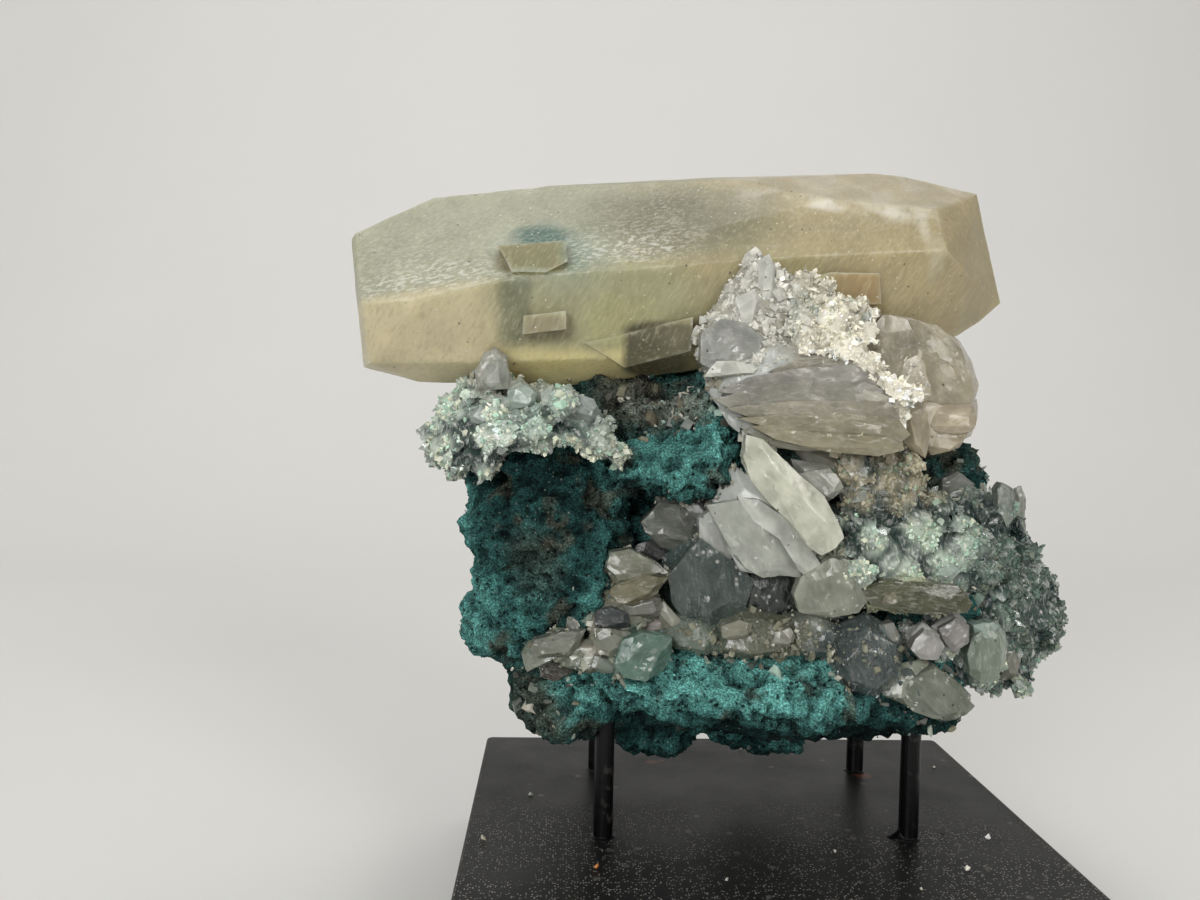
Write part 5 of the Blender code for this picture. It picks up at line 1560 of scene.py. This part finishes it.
class RockSettings(bpy.types.PropertyGroup):
    seed: bpy.props.IntProperty(name="Seed", description="Start of the random choices", default=7)
    skin: bpy.props.FloatProperty(
        name="Skin", description="Edge length of the fine skin", default=0.66 * MM, unit="LENGTH")
    swell: bpy.props.FloatProperty(
        name="Swell", description="Height of the wide lumps", default=1.2 * MM, unit="LENGTH")
    knobs: bpy.props.FloatProperty(
        name="Knobs", description="Height of the small knobs", default=0.5 * MM, unit="LENGTH")
    crests: bpy.props.FloatProperty(
        name="Crests", description="Height of the crust's crests", default=1.8 * MM, unit="LENGTH")
    pores: bpy.props.FloatProperty(
        name="Pores", description="Depth of the crust's pores", default=0.85 * MM, unit="LENGTH")
    grains: bpy.props.IntProperty(name="Grains", description="How many crust grains", default=6000, min=0)
    grain_size: bpy.props.FloatProperty(
        name="Grain Size", description="Largest grain", default=0.42 * MM, unit="LENGTH")
    fragments: bpy.props.IntProperty(
        name="Fragments", description="How many loose fragments", default=1900, min=3)


class CalciteSettings(bpy.types.PropertyGroup):
    skin: bpy.props.FloatProperty(
        name="Skin", description="Longest edge of the cut faces", default=1.2 * MM, unit="LENGTH")
    hillocks: bpy.props.FloatProperty(
        name="Hillocks", description="Height of the faint unevenness", default=0.12 * MM, unit="LENGTH")
    scales: bpy.props.FloatProperty(
        name="Scales", description="Height of the rough band's scales", default=0.4 * MM, unit="LENGTH")


class CrystalSettings(bpy.types.PropertyGroup):
    skin: bpy.props.FloatProperty(
        name="Skin", description="Longest edge of the cut faces", default=0.82 * MM, unit="LENGTH")
    roughening: bpy.props.FloatProperty(
        name="Roughening", description="Height of the faces' unevenness", default=0.14 * MM, unit="LENGTH")


class DruseSettings(bpy.types.PropertyGroup):
    seed: bpy.props.IntProperty(name="Seed", description="Start of the random choices", default=21)
    white: bpy.props.IntProperty(name="White", description="Crystals on the white crust", default=2600, min=2)
    mint: bpy.props.IntProperty(
        name="Mint", description="Crystals on the pale green crust", default=5600, min=2)
    clear: bpy.props.FloatProperty(
        name="Clear", description="Scale of the clear crystals", default=1 * MM, unit="LENGTH")
    frosted: bpy.props.IntProperty(
        name="Frosted", description="Crystals on the frosted crust", default=3000, min=2)


class SeamSettings(bpy.types.PropertyGroup):
    seed: bpy.props.IntProperty(name="Seed", description="Start of the random choices", default=33)
    crumbs: bpy.props.IntProperty(
        name="Crumbs", description="Crumbs along each piece's seams", default=460, min=6)
    reach: bpy.props.FloatProperty(
        name="Reach", description="Cell size that counts as near", default=1.3 * MM, unit="LENGTH")


class StandSettings(bpy.types.PropertyGroup):
    bead: bpy.props.FloatProperty(
        name="Bead", description="Width of the glue at a pin's foot", default=0.5 * MM, unit="LENGTH")
    glob: bpy.props.FloatProperty(
        name="Glob", description="Extra glue at the front right pin", default=3.0, min=0.0)


class SPECIMEN_OT_stage(bpy.types.Operator):
    """Set up the floor, backdrop, lights and camera"""
    bl_idname = "specimen.stage"
    bl_label = "Set Up Stage"

    def execute(self, context):
        build_stage(context.scene.specimen_stage)
        return {"FINISHED"}


class SPECIMEN_OT_rock(bpy.types.Operator):
    """Make the crusted rock with its grains and fragments"""
    bl_idname = "specimen.rock"
    bl_label = "Make Rock"

    def execute(self, context):
        build_rock(context.scene.specimen_rock)
        return {"FINISHED"}


class SPECIMEN_OT_calcite(bpy.types.Operator):
    """Make the long calcite crystal"""
    bl_idname = "specimen.calcite"
    bl_label = "Make Calcite"

    def execute(self, context):
        build_calcite(context.scene.specimen_calcite)
        return {"FINISHED"}


class SPECIMEN_OT_crystals(bpy.types.Operator):
    """Make the clusters of larger crystals"""
    bl_idname = "specimen.crystals"
    bl_label = "Make Crystals"

    def execute(self, context):
        build_crystals(context.scene.specimen_crystals)
        return {"FINISHED"}


class SPECIMEN_OT_druse(bpy.types.Operator):
    """Make the sugary crusts"""
    bl_idname = "specimen.druse"
    bl_label = "Make Druse"

    def execute(self, context):
        build_druse(context.scene.specimen_druse)
        return {"FINISHED"}


class SPECIMEN_OT_seams(bpy.types.Operator):
    """Strew crumbs along the seams between the pieces"""
    bl_idname = "specimen.seams"
    bl_label = "Fill Seams"

    def execute(self, context):
        build_seams(context.scene.specimen_seams)
        return {"FINISHED"}


class SPECIMEN_OT_stand(bpy.types.Operator):
    """Paint the base and pins, and add glue and crumbs"""
    bl_idname = "specimen.stand"
    bl_label = "Finish Stand"

    def execute(self, context):
        build_stand(context.scene.specimen_stand)
        return {"FINISHED"}


class SPECIMEN_PT_panel(bpy.types.Panel):
    """List the steps that dress the specimen"""
    bl_idname = "SPECIMEN_PT_panel"
    bl_label = "Calcite Specimen"
    bl_space_type = "VIEW_3D"
    bl_region_type = "UI"
    bl_category = "Specimen"

    def draw(self, context):
        for operator in OPERATORS:
            self.layout.operator(operator.bl_idname)


SETTINGS = (
    ("specimen_stage", StageSettings), ("specimen_rock", RockSettings), ("specimen_calcite", CalciteSettings),
    ("specimen_crystals", CrystalSettings), ("specimen_druse", DruseSettings),
    ("specimen_seams", SeamSettings),
    ("specimen_stand", StandSettings),
)
OPERATORS = (
    SPECIMEN_OT_stage, SPECIMEN_OT_rock, SPECIMEN_OT_calcite, SPECIMEN_OT_crystals, SPECIMEN_OT_druse,
    SPECIMEN_OT_seams, SPECIMEN_OT_stand,
)


def register():
    """Register the settings, the operators and the panel."""
    for name, group in SETTINGS:
        bpy.utils.register_class(group)
        setattr(bpy.types.Scene, name, bpy.props.PointerProperty(type=group))
    for operator in OPERATORS:
        bpy.utils.register_class(operator)
    bpy.utils.register_class(SPECIMEN_PT_panel)


def unregister():
    """Take the panel, the operators and the settings away."""
    bpy.utils.unregister_class(SPECIMEN_PT_panel)
    for operator in reversed(OPERATORS):
        bpy.utils.unregister_class(operator)
    for name, group in reversed(SETTINGS):
        delattr(bpy.types.Scene, name)
        bpy.utils.unregister_class(group)


def main():
    """Dress the whole specimen."""
    register()
    build_groups()
    bpy.ops.specimen.stage()
    bpy.ops.specimen.rock()
    bpy.ops.specimen.calcite()
    bpy.ops.specimen.crystals()
    bpy.ops.specimen.druse()
    bpy.ops.specimen.seams()
    bpy.ops.specimen.stand()


if __name__ == "__main__":
    main()
